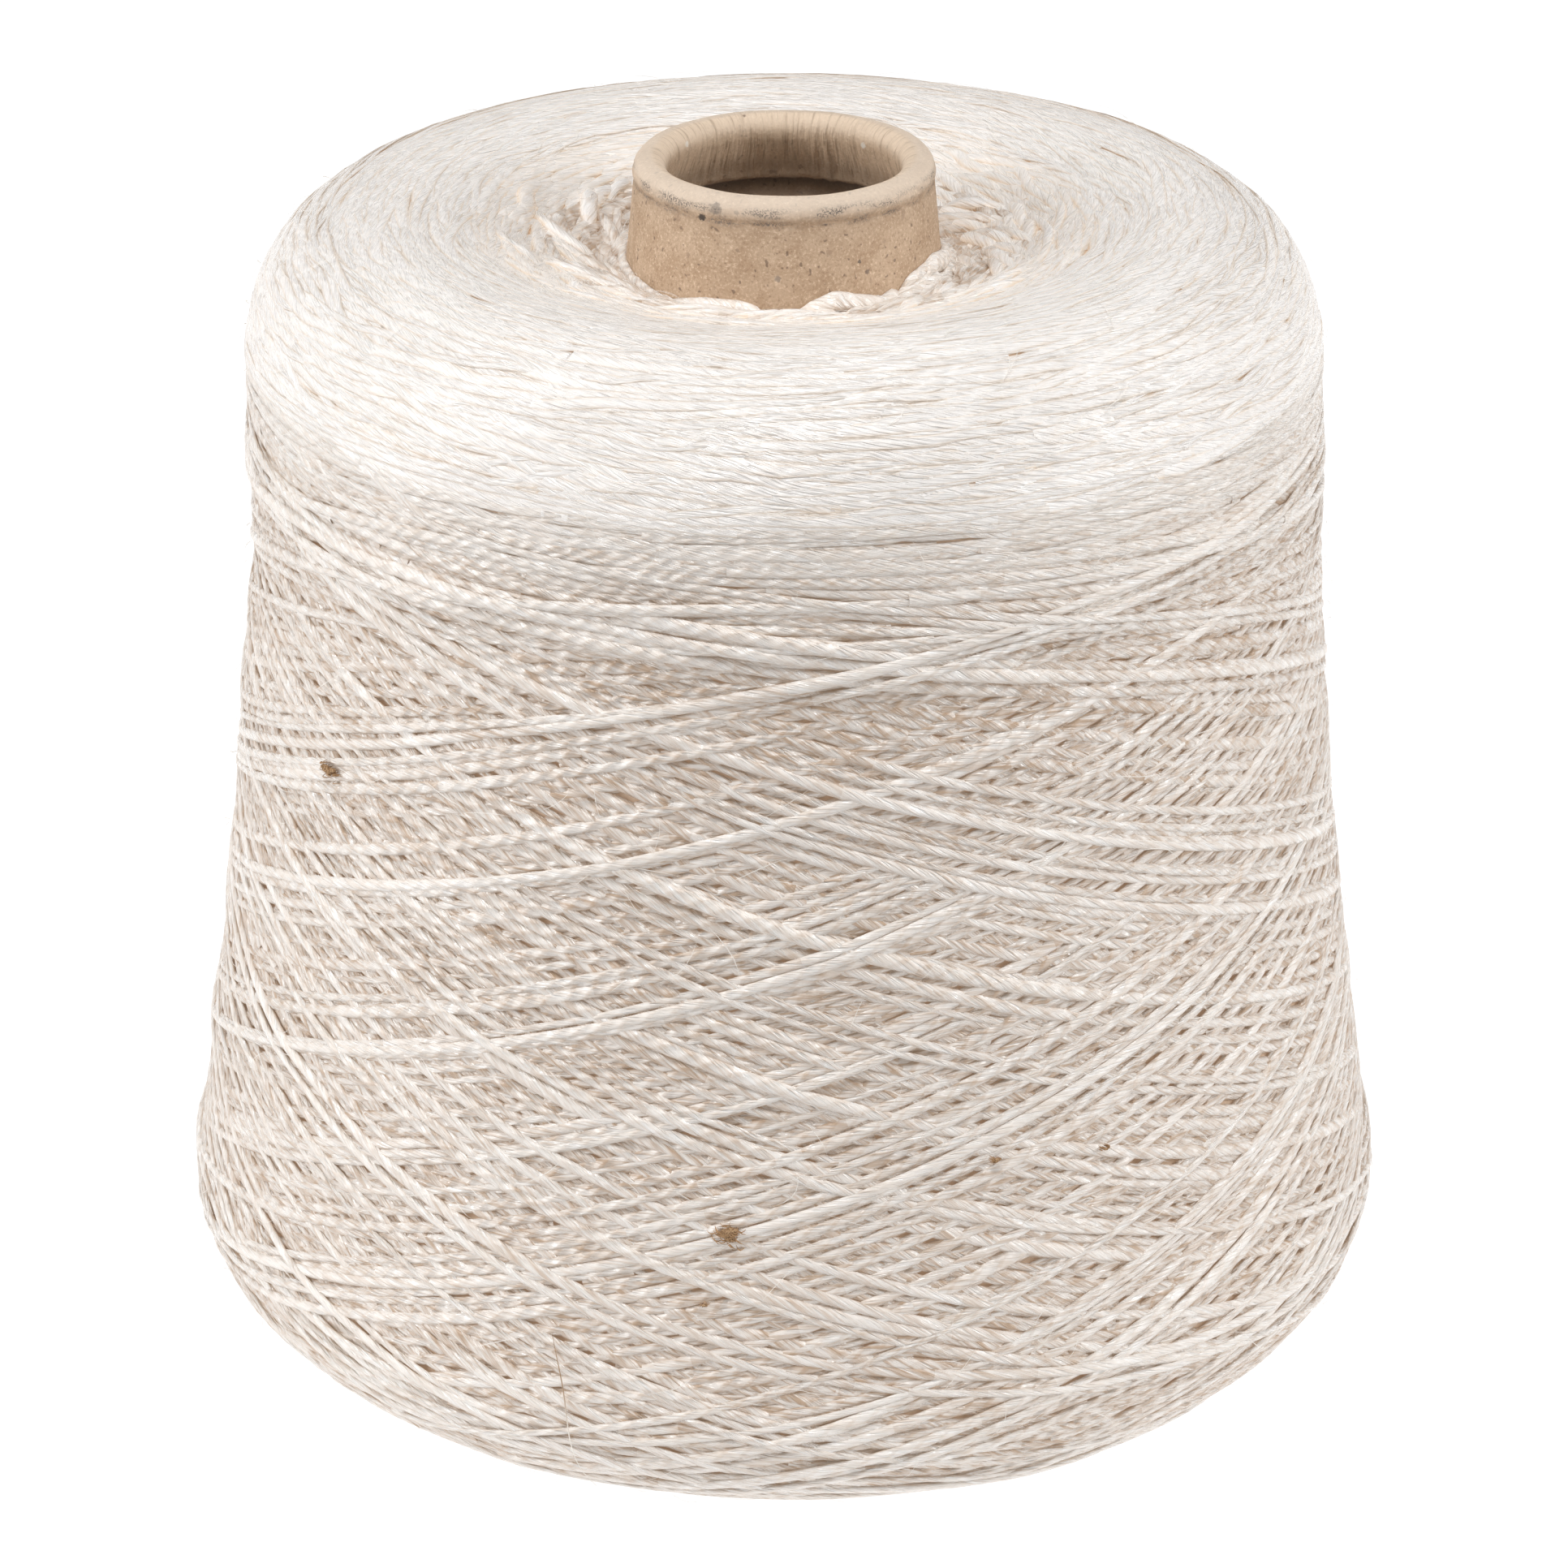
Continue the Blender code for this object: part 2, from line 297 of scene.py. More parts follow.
def lay_leg(winding, begin, leg, wide, rising, height=None):
    """Lay one strand of a traverse, up or down, and give the height at its end."""
    rng = winding.rng
    count = len(leg)
    width = wide * (1.0 + 0.12 * wander(rng, count, 60))
    thick = np.clip(TRAVERSE_FLATNESS * width, *TRAVERSE_THICKNESS)
    u = leg + 0.00012 * wander(rng, count, 90)
    u = np.clip(u, 0.0, SECTION_LENGTH - SECTION_STEP)
    from_foot = np.arange(count) * (CELL_TURN * SIDE_RADIUS)
    from_foot = from_foot if rising else from_foot[::-1]
    dive = FOOT_DIVE * (1.0 - blend(from_foot, 0.0, FOOT_DIVE_REACH))
    return winding.lay(begin, u, width, thick, dive, SINK, TRAVERSE_RING, height)


def wind_traverses(winding, first, last):
    """Up and down traverses, each a bundle of one to three strands side by side."""
    rng = winding.rng
    for period in range(first, last):
        _, start, up, down = lowest([traverse_choice(winding, period) for _ in range(TRIES)])
        members = rng.choice([1, 2, 3], p=BUNDLE_SHARES)
        spacing = rng.uniform(*BUNDLE_SPACING)
        for member in range(members):
            shift = (member - (members - 1) / 2) * spacing
            wide = rng.uniform(*TRAVERSE_WIDTH)
            height = lay_leg(winding, start, up + shift, wide, True)
            lay_leg(winding, start + len(up) - 1, down + shift, wide, False, height)


class Arcs(NamedTuple):
    """One kind of the short arcs of yarn that the ends of a package show. Pairs are the least
    and the most."""
    count: int          # laid at a time
    where: tuple        # distance along the section
    length: tuple
    tilt: float         # spread of their angle to the package's circles, in degrees
    width: tuple
    wave: float         # how far they wander aside
    weave: float        # and dip under their neighbours
    ring: float         # distance between an arc's points
    proud: float = 0.0  # height above the rest
    turn: float = 0.0   # their mean angle to the package's circles, in degrees


# The arcs of each layer, from the collar over the top and the shoulder to the foot and under.
LAYER_ARCS = (
    Arcs(count=60, where=(0.0003, 0.011), length=(0.008, 0.024), tilt=17.0,
         width=(0.0015, 0.0024), wave=0.0006, weave=0.0007, ring=0.0014, turn=-8.0),
    Arcs(count=100, where=(0.007, 0.028), length=(0.012, 0.034), tilt=8.0,
         width=(0.0011, 0.0018), wave=0.0004, weave=0.0006, ring=0.0019),
    Arcs(count=125, where=(0.022, CREST_U + 0.014), length=(0.022, 0.050), tilt=5.0,
         width=(0.0011, 0.0017), wave=0.0003, weave=0.0004, ring=0.0024),
    Arcs(count=90, where=(CREST_U + 0.008, SHOULDER_U + 0.002), length=(0.028, 0.070), tilt=3.4,
         width=(0.0011, 0.0016), wave=0.0003, weave=0.0004, ring=0.0028),
    Arcs(count=22, where=(SHOULDER_U - 0.004, SHOULDER_U + 0.008), length=(0.050, 0.110), tilt=2.0,
         width=(0.0010, 0.0016), wave=0.0002, weave=0.0002, ring=0.0034),
    Arcs(count=28, where=(FOOT_U + 0.004, UNDER_U + 0.004), length=(0.040, 0.120), tilt=4.0,
         width=(0.0010, 0.0018), wave=0.0002, weave=0.0003, ring=0.0032),
    Arcs(count=24, where=(UNDER_U - 0.002, UNDER_U + 0.018), length=(0.030, 0.090), tilt=6.0,
         width=(0.0011, 0.0020), wave=0.0003, weave=0.0004, ring=0.0030),
    Arcs(count=20, where=(UNDER_U + 0.012, SECTION_LENGTH - 0.001), length=(0.020, 0.060),
         tilt=12.0, width=(0.0014, 0.0026), wave=0.0005, weave=0.0004, ring=0.0028),
)
# Thicker, prouder arcs round the nose, laid last.
NOSE_ARCS = (
    Arcs(count=130, where=(0.004, 0.018), length=(0.012, 0.024), tilt=8.0,
         width=(0.0015, 0.0021), wave=0.0006, weave=0.0004, ring=0.0013, proud=0.00014),
    Arcs(count=120, where=(0.0014, 0.0090), length=(0.010, 0.017), tilt=8.0,
         width=(0.0016, 0.0022), wave=0.0005, weave=0.0003, ring=0.0012, proud=0.00014,
         turn=-27.0),
)


def arc_choice(winding, kind):
    """A place for one arc."""
    rng = winding.rng
    middle = rng.uniform(*kind.where)
    start = int(rng.integers(ROUND_CELLS))
    cell = float(np.interp(middle, SECTION_U, SECTION_R)) * CELL_TURN
    cells = max(8, int(rng.uniform(*kind.length) / cell))
    distance = (np.arange(cells) - cells / 2) * cell
    lean = math.tan(math.radians(rng.normal(kind.turn, kind.tilt)))
    u = middle + lean * distance + kind.wave * wander(rng, cells, max(4, 0.006 / cell))
    u = np.clip(u, 0.0002, SECTION_LENGTH - SECTION_STEP)
    return level_under(winding, start, u), start, cell, u


def lay_arcs(winding, kind):
    """Arcs of one kind, which thin out at their ends and dip under their neighbours."""
    rng = winding.rng
    for _ in range(kind.count):
        _, start, cell, u = lowest([arc_choice(winding, kind) for _ in range(TRIES)])
        cells = len(u)
        spread = 1.0 + 0.15 * wander(rng, cells, max(4, 0.01 / cell))
        end = np.minimum(np.arange(cells), np.arange(cells)[::-1]) * cell
        taper = 0.35 + 0.65 * blend(end, 0.0, ARC_TAPER)
        wide = np.clip(rng.uniform(*kind.width) * spread, *ARC_WIDTH) * taper
        thick = (ARC_FLATNESS + PROUD_FLATNESS * kind.proud) * wide
        thick = np.clip(thick, *ARC_THICKNESS)
        dive = ARC_DIVE * (1.0 - blend(end, 0.0, min(ARC_DIVE_REACH, cells * cell / 2.5)))
        dive += kind.weave * np.abs(wander(rng, cells, max(4, 0.007 / cell))) - kind.proud
        winding.lay(start, u, wide, thick, dive, ARC_SINK, kind.ring)


def wind():
    """The whole winding, layer by layer."""
    winding = Winding(seed=20)
    for layer in range(LAYERS + 1):
        if layer < LAYERS:
            wind_traverses(winding, PERIODS * layer // LAYERS, PERIODS * (layer + 1) // LAYERS)
        for kind in LAYER_ARCS:
            lay_arcs(winding, kind)
    for kind in NOSE_ARCS:
        lay_arcs(winding, kind)
    return winding


# Where the yarn's edge rides up the paper: degrees round the cone, mm above the collar.
COLLAR_EDGE = (
    (-180.0, 0.3), (-138.0, 0.0), (-119.0, 1.1), (-106.0, 1.0), (-98.0, 0.2), (-85.0, 0.6),
    (-80.0, 1.7), (-72.0, 2.2), (-64.0, 1.2), (-53.0, 0.3), (-49.0, 1.1), (-41.0, 1.6),
    (-22.0, 2.7), (0.0, 1.0), (40.0, 0.6), (75.0, 1.4), (110.0, 0.5), (150.0, 1.2), (180.0, 0.3),
)
LOCKS = 84                  # thick locks round the nose
LOCK_ROWS = 3
LOCK_WIDTH = (0.0015, 0.0022)
LOCK_FLATNESS = 0.72
LOCK_RING = 0.0012
# Slow lumps: place along the section and reach, angle and spread in degrees, height.
BULGES = (
    (0.0330, 0.012, 90.0, 60.0, -0.0008),
    (0.0480, 0.007, 0.0, 1000.0, 0.0004),
    (0.0850, 0.014, 180.0, 50.0, -0.0009),
    (0.1200, 0.035, 0.0, 1000.0, -0.0004),
    (0.1885, 0.009, 0.0, 1000.0, 0.0013),
)
PACKING = 0.0011            # depth that the deepest strands come near
FACE_CALM = 0.66            # share of the relief that the outer face doesn't show
CALM_FROM = (0.010, 0.024)  # it calms down between these distances along the section
FACE_FROM = 0.0035          # and the face's rows, painted paler, start here along the section
FACE_STAGGER = 0.0005       # and a little further on for each kind of row
DEPTH_LEVELS = (0.00030, 0.00060)   # where the second and third kinds of row begin, which the yarn is painted darker on, as painted shade
BLOCK = 8                   # cells to a block of the envelope, either way


def finished_heights(winding):
    """The strands' smooth upper envelope, in blocks of cells. Taking it away brings them to
    the section, with the relief of single strands left in."""
    rounds = ROUND_CELLS // BLOCK
    rows = CELLS // BLOCK
    blocks = winding.top[:, :rows * BLOCK].reshape(rounds, BLOCK, rows, BLOCK)
    blocks = np.percentile(blocks.transpose(0, 2, 1, 3).reshape(rounds, rows, -1), 88, axis=2)
    for row in range(rows):
        radius = SECTION_R[row * BLOCK + BLOCK // 2]
        reach = int(round(LEVEL / (radius * math.tau / rounds) / 2))
        padded = np.concatenate([blocks[-3 * reach:, row], blocks[:, row], blocks[:3 * reach, row]])
        blocks[:, row] = smoothed(padded, reach)[3 * reach:3 * reach + rounds]
    reach = max(1, int(round(LEVEL / (BLOCK * SECTION_STEP) / 2)))
    return np.stack([smoothed(line, reach) for line in blocks])


def read_blocks(blocks, theta, u):
    """The envelope at places on the section."""
    rounds, rows = blocks.shape
    x = theta / math.tau * rounds - 0.5
    y = np.clip(u / SECTION_STEP / BLOCK - 0.5, 0.0, rows - 1.001)
    i, j = np.floor(x).astype(int), np.floor(y).astype(int)
    a, b = x - i, y - j
    i0, i1 = i % rounds, (i + 1) % rounds
    return ((blocks[i0, j] * (1 - a) + blocks[i1, j] * a) * (1 - b)
            + (blocks[i0, j + 1] * (1 - a) + blocks[i1, j + 1] * a) * b)


def settled(lift):
    """Deep strands are packed closer under the surface than they were laid."""
    depth = np.maximum(-lift, 0.0)
    return np.where(lift < 0.0, -PACKING * (1.0 - np.exp(-depth / PACKING)), lift)


def visible_cells(top):
    """The lowest neighbour of each cell: what a strand must reach to be seen."""
    low = top.copy()
    for shift in (1, 2):
        for axis in (0, 1):
            rolled = [np.roll(top, s, axis=axis) for s in (-shift, shift)]
            low = np.minimum(low, np.minimum(*rolled))
    return low


def strand_rings(centre, above, width, thick, roundness):
    """The points across a strand's visible upper part, for each point along it. A rounder
    strand turns in further under its sides."""
    above = above / np.linalg.norm(above, axis=1, keepdims=True)
    along = np.gradient(centre, axis=0)
    along /= np.linalg.norm(along, axis=1, keepdims=True)
    beside = np.cross(along, above)
    beside /= np.linalg.norm(beside, axis=1, keepdims=True)
    up = np.cross(beside, along)
    low = np.radians(15.0 - 55.0 * roundness)[:, None]
    phi = low + (math.pi - 2 * low) * np.linspace(0.0, 1.0, ARCH)[None, :]
    return (centre[:, None, :]
            + beside[:, None, :] * (width[:, None] / 2 * np.cos(phi))[:, :, None]
            + up[:, None, :] * (thick[:, None] / 2 * np.sin(phi))[:, :, None])


class Quads:
    """Points, quads and their places in the texture, gathered strand by strand."""

    def __init__(self):
        self.verts = []
        self.faces = []
        self.uvs = []
        self.total = 0

    def add(self, verts, faces, uvs):
        """Add points, and quads that count from the first of them."""
        verts = verts.reshape(-1, 3)
        self.verts.append(verts)
        self.faces.append(faces + self.total)
        self.uvs.append(uvs)
        self.total += len(verts)

    def joined(self):
        return [np.concatenate(rows) for rows in (self.verts, self.faces, self.uvs)]


def uv_corners(x0, x1, y0, y1):
    """Places in the texture of quads that go up one side, across and down the other."""
    corners = [(x0, y0), (x0, y1), (x1, y1), (x1, y0)]
    return np.stack([np.stack(pair, axis=-1) for pair in corners], axis=-2)


def strand_faces(keep, along, spacing, row):
    """Quads from each kept point along a strand to the next, and their places in the texture."""
    corner = (keep * ARCH)[:, None] + np.arange(ARCH - 1)[None, :]
    faces = np.stack([corner, corner + 1, corner + 1 + ARCH, corner + ARCH], axis=-1)
    per_tile = int(round(TILE / spacing))
    x0 = np.repeat((((keep + along) % per_tile) / per_tile)[:, None], ARCH - 1, axis=1)
    share = np.arange(ARCH - 1)[None, :] / (ARCH - 1)
    y0 = (row[:, None] + ROW_MARGIN + ROW_USED * share) / (KINDS * GROUPS)
    y1 = y0 + ROW_USED / (ARCH - 1) / (KINDS * GROUPS)
    uvs = uv_corners(x0, x0 + 1.0 / per_tile, y0, y1)
    return faces.reshape(-1, 4), uvs.reshape(-1, 4, 2)


def bulge(theta, u):
    """Slow lumps of the package, outward."""
    total = np.zeros_like(u)
    for at, reach, degrees, spread, height in BULGES:
        away = np.degrees(np.angle(np.exp(1j * (theta - math.radians(degrees)))))
        total += height * np.exp(-((u - at) / reach) ** 2 - (away / spread) ** 2)
    return total


def relief(u):
    """Share of the relief that shows: the outer face is smoother than the rest."""
    outer = blend(u, *CALM_FROM) * (1.0 - blend(u, SHOULDER_U - 0.002, SHOULDER_U + 0.014))
    return 1.0 - FACE_CALM * outer


def rings_seen(strand, low):
    """Which of a strand's points can be seen, and the points next to them."""
    cells = np.rint(strand["theta"] / math.tau * ROUND_CELLS).astype(int) % ROUND_CELLS
    rows = np.clip(np.rint(strand["u"] / SECTION_STEP).astype(int), 0, CELLS - 1)
    upper = strand["height"] + strand["thick"] / 2
    seen = np.zeros(len(cells), bool)
    for side in (-2, 0, 2):
        beside = np.clip(rows + side, 0, CELLS - 1)
        seen |= upper > low[cells, beside] - HIDDEN_BY
    wider = seen.copy()
    wider[1:] |= seen[:-1]
    wider[:-1] |= seen[1:]
    return wider


def texture_rows(strand, keep, lift):
    """Row of the texture for each kept point of a strand, by its depth and its place."""
    u = strand["u"][keep]
    level = np.digitize(-lift[keep], DEPTH_LEVELS)
    face = (u > FACE_FROM + FACE_STAGGER * strand["lane"]) & (u < SHOULDER_U - 0.002)
    return np.where(face, 3 + np.minimum(level, 1), level) * KINDS + strand["lane"]


def add_strands(quads, winding):
    """The parts of every strand that can be seen, brought to the section."""
    low = visible_cells(winding.top)
    envelope = finished_heights(winding)
    for strand in winding.strands:
        theta, u = strand["theta"], strand["u"]
        if len(theta) < 3:
            continue
        lift = settled(strand["height"] - read_blocks(envelope, theta, u)) * relief(u)
        raised = lift + bulge(theta, u)
        centre = place(theta, u, raised)
        above = place(theta, u, raised + 0.001) - centre
        ring = strand_rings(centre, above, strand["width"], strand["thick"] * relief(u), relief(u))
        seen = rings_seen(strand, low)
        keep = np.where(seen[:-1] & seen[1:])[0]
        row = texture_rows(strand, keep, lift)
        quads.add(ring, *strand_faces(keep, strand["along"], strand["ring"], row))


def add_collar_locks(quads):
    """Thick soft locks that ride up the paper, in rows over one another."""
    rng = np.random.default_rng(31)
    degrees, rises = zip(*COLLAR_EDGE)
    for number in range(LOCKS):
        row = LOCK_ROWS - 1 - number * LOCK_ROWS // LOCKS
        middle = rng.uniform(-180.0, 180.0)
        half = rng.uniform(14.0, 27.0)
        count = int(half * 0.9) + 4
        angle = np.linspace(middle - half, middle + half, count)
        theta = np.radians(angle)
        wide = rng.uniform(*LOCK_WIDTH)
        end = 1.0 - np.abs(np.linspace(-1.0, 1.0, count))
        full = blend(end, 0.0, 0.4)
        width = wide * (0.45 + 0.55 * full)
        rise = np.interp((angle + 180.0) % 360.0 - 180.0, degrees, rises) * 0.001
        sway = np.linspace(0.0, rng.uniform(2.0, 5.0), count)
        sway = 0.0005 * np.sin(sway + rng.uniform(0.0, 6.0))
        z = (COLLAR_HEIGHT + rise * (1.0 - 0.3 * row) - 0.36 * wide - 0.0007 * row + sway
             - 0.0016 * (1.0 - full))
        radius = cone_radius(z) + (0.24 + 0.55 * row) * wide - 0.0005 * (1.0 - full)
        centre = np.stack([radius * np.cos(theta), radius * np.sin(theta), z], axis=-1)
        tip = math.radians(30.0 + 22.0 * row)
        above = np.stack([np.cos(theta) * math.cos(tip), np.sin(theta) * math.cos(tip),
                          np.full(count, math.sin(tip))], axis=-1)
        ring = strand_rings(centre, above, width, LOCK_FLATNESS * width, np.ones(count))
        along = int(rng.integers(1000))
        lanes = np.full(count - 1, int(rng.integers(KINDS)))
        quads.add(ring, *strand_faces(np.arange(count - 1), along, LOCK_RING, lanes))


def mesh_piece(name, verts, faces, uvs, material):
    """An object from quads, with smooth faces and its texture rows as the map OFBake."""
    used, index = np.unique(faces, return_inverse=True)
    faces = index.reshape(faces.shape)
    verts = verts[used]
    mesh = bpy.data.meshes.new(name)
    mesh.vertices.add(len(verts))
    mesh.vertices.foreach_set("co", verts.astype(np.float32).ravel())
    mesh.loops.add(faces.size)
    mesh.loops.foreach_set("vertex_index", faces.astype(np.int32).ravel())
    mesh.polygons.add(len(faces))
    mesh.polygons.foreach_set("loop_start", np.arange(len(faces), dtype=np.int32) * 4)
    mesh.polygons.foreach_set("use_smooth", np.ones(len(faces), bool))
    mesh.update(calc_edges=True)
    layer = mesh.uv_layers.new(name="OFBake")
    layer.data.foreach_set("uv", uvs.astype(np.float32).ravel())
    mesh.materials.append(material)
    piece = bpy.data.objects.new(name, mesh)
    bpy.context.scene.collection.objects.link(piece)
    return piece


# ---------------------------------------------------------------- materials
# Marks on the paper, dark but for the last two: centre and reach in mm, strength, colour.
MARKS = (
    ((-10.4, -16.4, 166.9), 0.60, 0.90, (0.05, 0.042, 0.038)),
    ((-8.7, -17.5, 168.4), 0.95, 0.45, (0.12, 0.11, 0.105)),
    ((-0.8, -20.1, 159.9), 0.55, 0.50, (0.20, 0.18, 0.17)),
    ((9.6, -17.5, 161.3), 0.34, 0.80, (0.13, 0.10, 0.085)),
    ((10.6, -17.1, 159.8), 0.42, 0.70, (0.15, 0.11, 0.09)),
    ((14.1, -14.3, 160.3), 0.28, 0.70, (0.16, 0.11, 0.08)),
    ((-5.2, 15.6, 169.8), 0.36, 0.75, (0.16, 0.10, 0.07)),
    ((-13.1, -14.6, 164.8), 0.30, 0.70, (0.24, 0.16, 0.11)),
    ((-5.9, -18.9, 163.3), 0.30, 0.60, (0.26, 0.18, 0.12)),
    ((-12.7, 8.4, 168.2), 0.48, 0.80, (0.82, 0.76, 0.68)),
    ((10.4, 11.2, 167.1), 0.52, 0.85, (0.82, 0.76, 0.68)),
)


class Term:
    """A shader value that can be written in sums."""

    def __init__(self, tree, socket):
        self.tree = tree
        self.socket = socket

    def maths(self, operation, *others, first=None):
        """A Math node on this value, then the others, or with another before it."""
        node = self.tree.nodes.new("ShaderNodeMath")
        node.operation = operation
        terms = [self, *others] if first is None else [first, self]
        for slot, term in zip(node.inputs, terms):
            join(self.tree, term, slot)
        return Term(self.tree, node.outputs[0])

    def __add__(self, other):
        return self.maths("ADD", other)

    def __sub__(self, other):
        return self.maths("SUBTRACT", other)

    def __mul__(self, other):
        return self.maths("MULTIPLY", other)

    def __truediv__(self, other):
        return self.maths("DIVIDE", other)

    def __pow__(self, other):
        return self.maths("POWER", other)

    def __radd__(self, other):
        return self.maths("ADD", other)

    def __rsub__(self, other):
        return self.maths("SUBTRACT", first=other)

    def __rmul__(self, other):
        return self.maths("MULTIPLY", other)

    def floor(self):
        return self.maths("FLOOR")

    def fract(self):
        return self.maths("FRACT")

    def absolute(self):
        return self.maths("ABSOLUTE")

    def sine(self):
        return self.maths("SINE")

    def step(self, low, high):
        """0 below low, 1 above high and smooth between."""
        node = self.tree.nodes.new("ShaderNodeMapRange")
        node.interpolation_type = "SMOOTHSTEP"
        for slot, term in zip(node.inputs, (self, low, high)):
            join(self.tree, term, slot)
        return Term(self.tree, node.outputs[0])


def join(tree, term, slot):
    """Link a term to a socket, or give the socket a number or a colour."""
    if isinstance(term, Term):
        tree.links.new(term.socket, slot)
    elif slot.type == "RGBA" and len(term) == 3:
        slot.default_value = (*term, 1.0)
    else:
        slot.default_value = term


class Finish:
    """A material under construction: its tree and its Principled shader."""

    def __init__(self, name, **fixed):
        self.material = bpy.data.materials.new(name)
        self.material.use_nodes = True
        self.tree = self.material.node_tree
        self.shader = self.tree.nodes["Principled BSDF"]
        for label, value in fixed.items():
            self.use(label.replace("_", " ").title().replace("Ior", "IOR"), value)

    def node(self, kind, output=0, settings=None, **inputs):
        node = self.tree.nodes.new(kind)
        for label, value in (settings or {}).items():
            setattr(node, label, value)
        for label, value in inputs.items():
            join(self.tree, value, node.inputs[label.replace("_", " ")])
        return Term(self.tree, node.outputs[output])

    def object_place(self):
        """Place in the object, in metres."""
        return self.node("ShaderNodeTexCoord", output=3)

    def map_place(self):
        """Place in the map OFBake."""
        return self.node("ShaderNodeUVMap", settings={"uv_map": "OFBake"})

    def split(self, vector):
        node = self.tree.nodes.new("ShaderNodeSeparateXYZ")
        join(self.tree, vector, node.inputs[0])
        return [Term(self.tree, output) for output in node.outputs]

    def vector(self, x, y, z):
        return self.node("ShaderNodeCombineXYZ", X=x, Y=y, Z=z)

    def noise(self, spot, scale, detail=2.0, roughness=0.5):
        return self.node("ShaderNodeTexNoise", Vector=spot, Scale=scale, Detail=detail,
                         Roughness=roughness)

    def distance(self, spot, point):
        node = self.tree.nodes.new("ShaderNodeVectorMath")
        node.operation = "DISTANCE"
        join(self.tree, spot, node.inputs[0])
        node.inputs[1].default_value = point
        return Term(self.tree, node.outputs["Value"])

    def mix(self, share, low, high):
        """The low colour, or the high one where share is 1."""
        node = self.tree.nodes.new("ShaderNodeMix")
        node.data_type = "RGBA"
        for slot, term in zip((node.inputs[0], node.inputs[6], node.inputs[7]),
                              (share, low, high)):
            join(self.tree, term, slot)
        return Term(self.tree, node.outputs[2])

    def bump(self, height, distance):
        """Raise the surface by height times a distance in metres, in its shading alone."""
        self.use("Normal", self.node("ShaderNodeBump", Height=height, Distance=distance))

    def use(self, label, term):
        join(self.tree, term, self.shader.inputs[label])


# Colours of the yarn: cream where it is lit, and tan for painted shade in the gaps between its
# fibres and plies, at strand edges and on deeper strands. The glint colour is a painted highlight,
# and the glow colours are a painted glow: emission that stands in for light coming through the
# yarn, faint over all of it, stronger in its shaded gaps and strongest on the top face. LOWER is
# for its deepest strands, FACE for the top, which is painted paler than the side.
CREAM = (0.92, 0.882, 0.842)
SLUB_CREAM = (0.895, 0.85, 0.802)
LOWER_CREAM = (0.935, 0.908, 0.877)
PAINTED_PALE_FACE_CREAM = (0.965, 0.944, 0.925)
PAINTED_GLINT = (0.99, 0.98, 0.965)
PAINTED_SHADE_TAN = (0.585, 0.46, 0.355)
LOWER_PAINTED_SHADE_TAN = (0.40, 0.28, 0.19)
FACE_PAINTED_SHADE_TAN = (0.56, 0.465, 0.375)
PAINTED_CREAM_GLOW = (0.036, 0.022, 0.011)
PAINTED_GLOW = (0.088, 0.063, 0.043)
PAINTED_LOWER_GLOW = (0.128, 0.092, 0.064)
PAINTED_FACE_GLOW = (0.35, 0.285, 0.222)


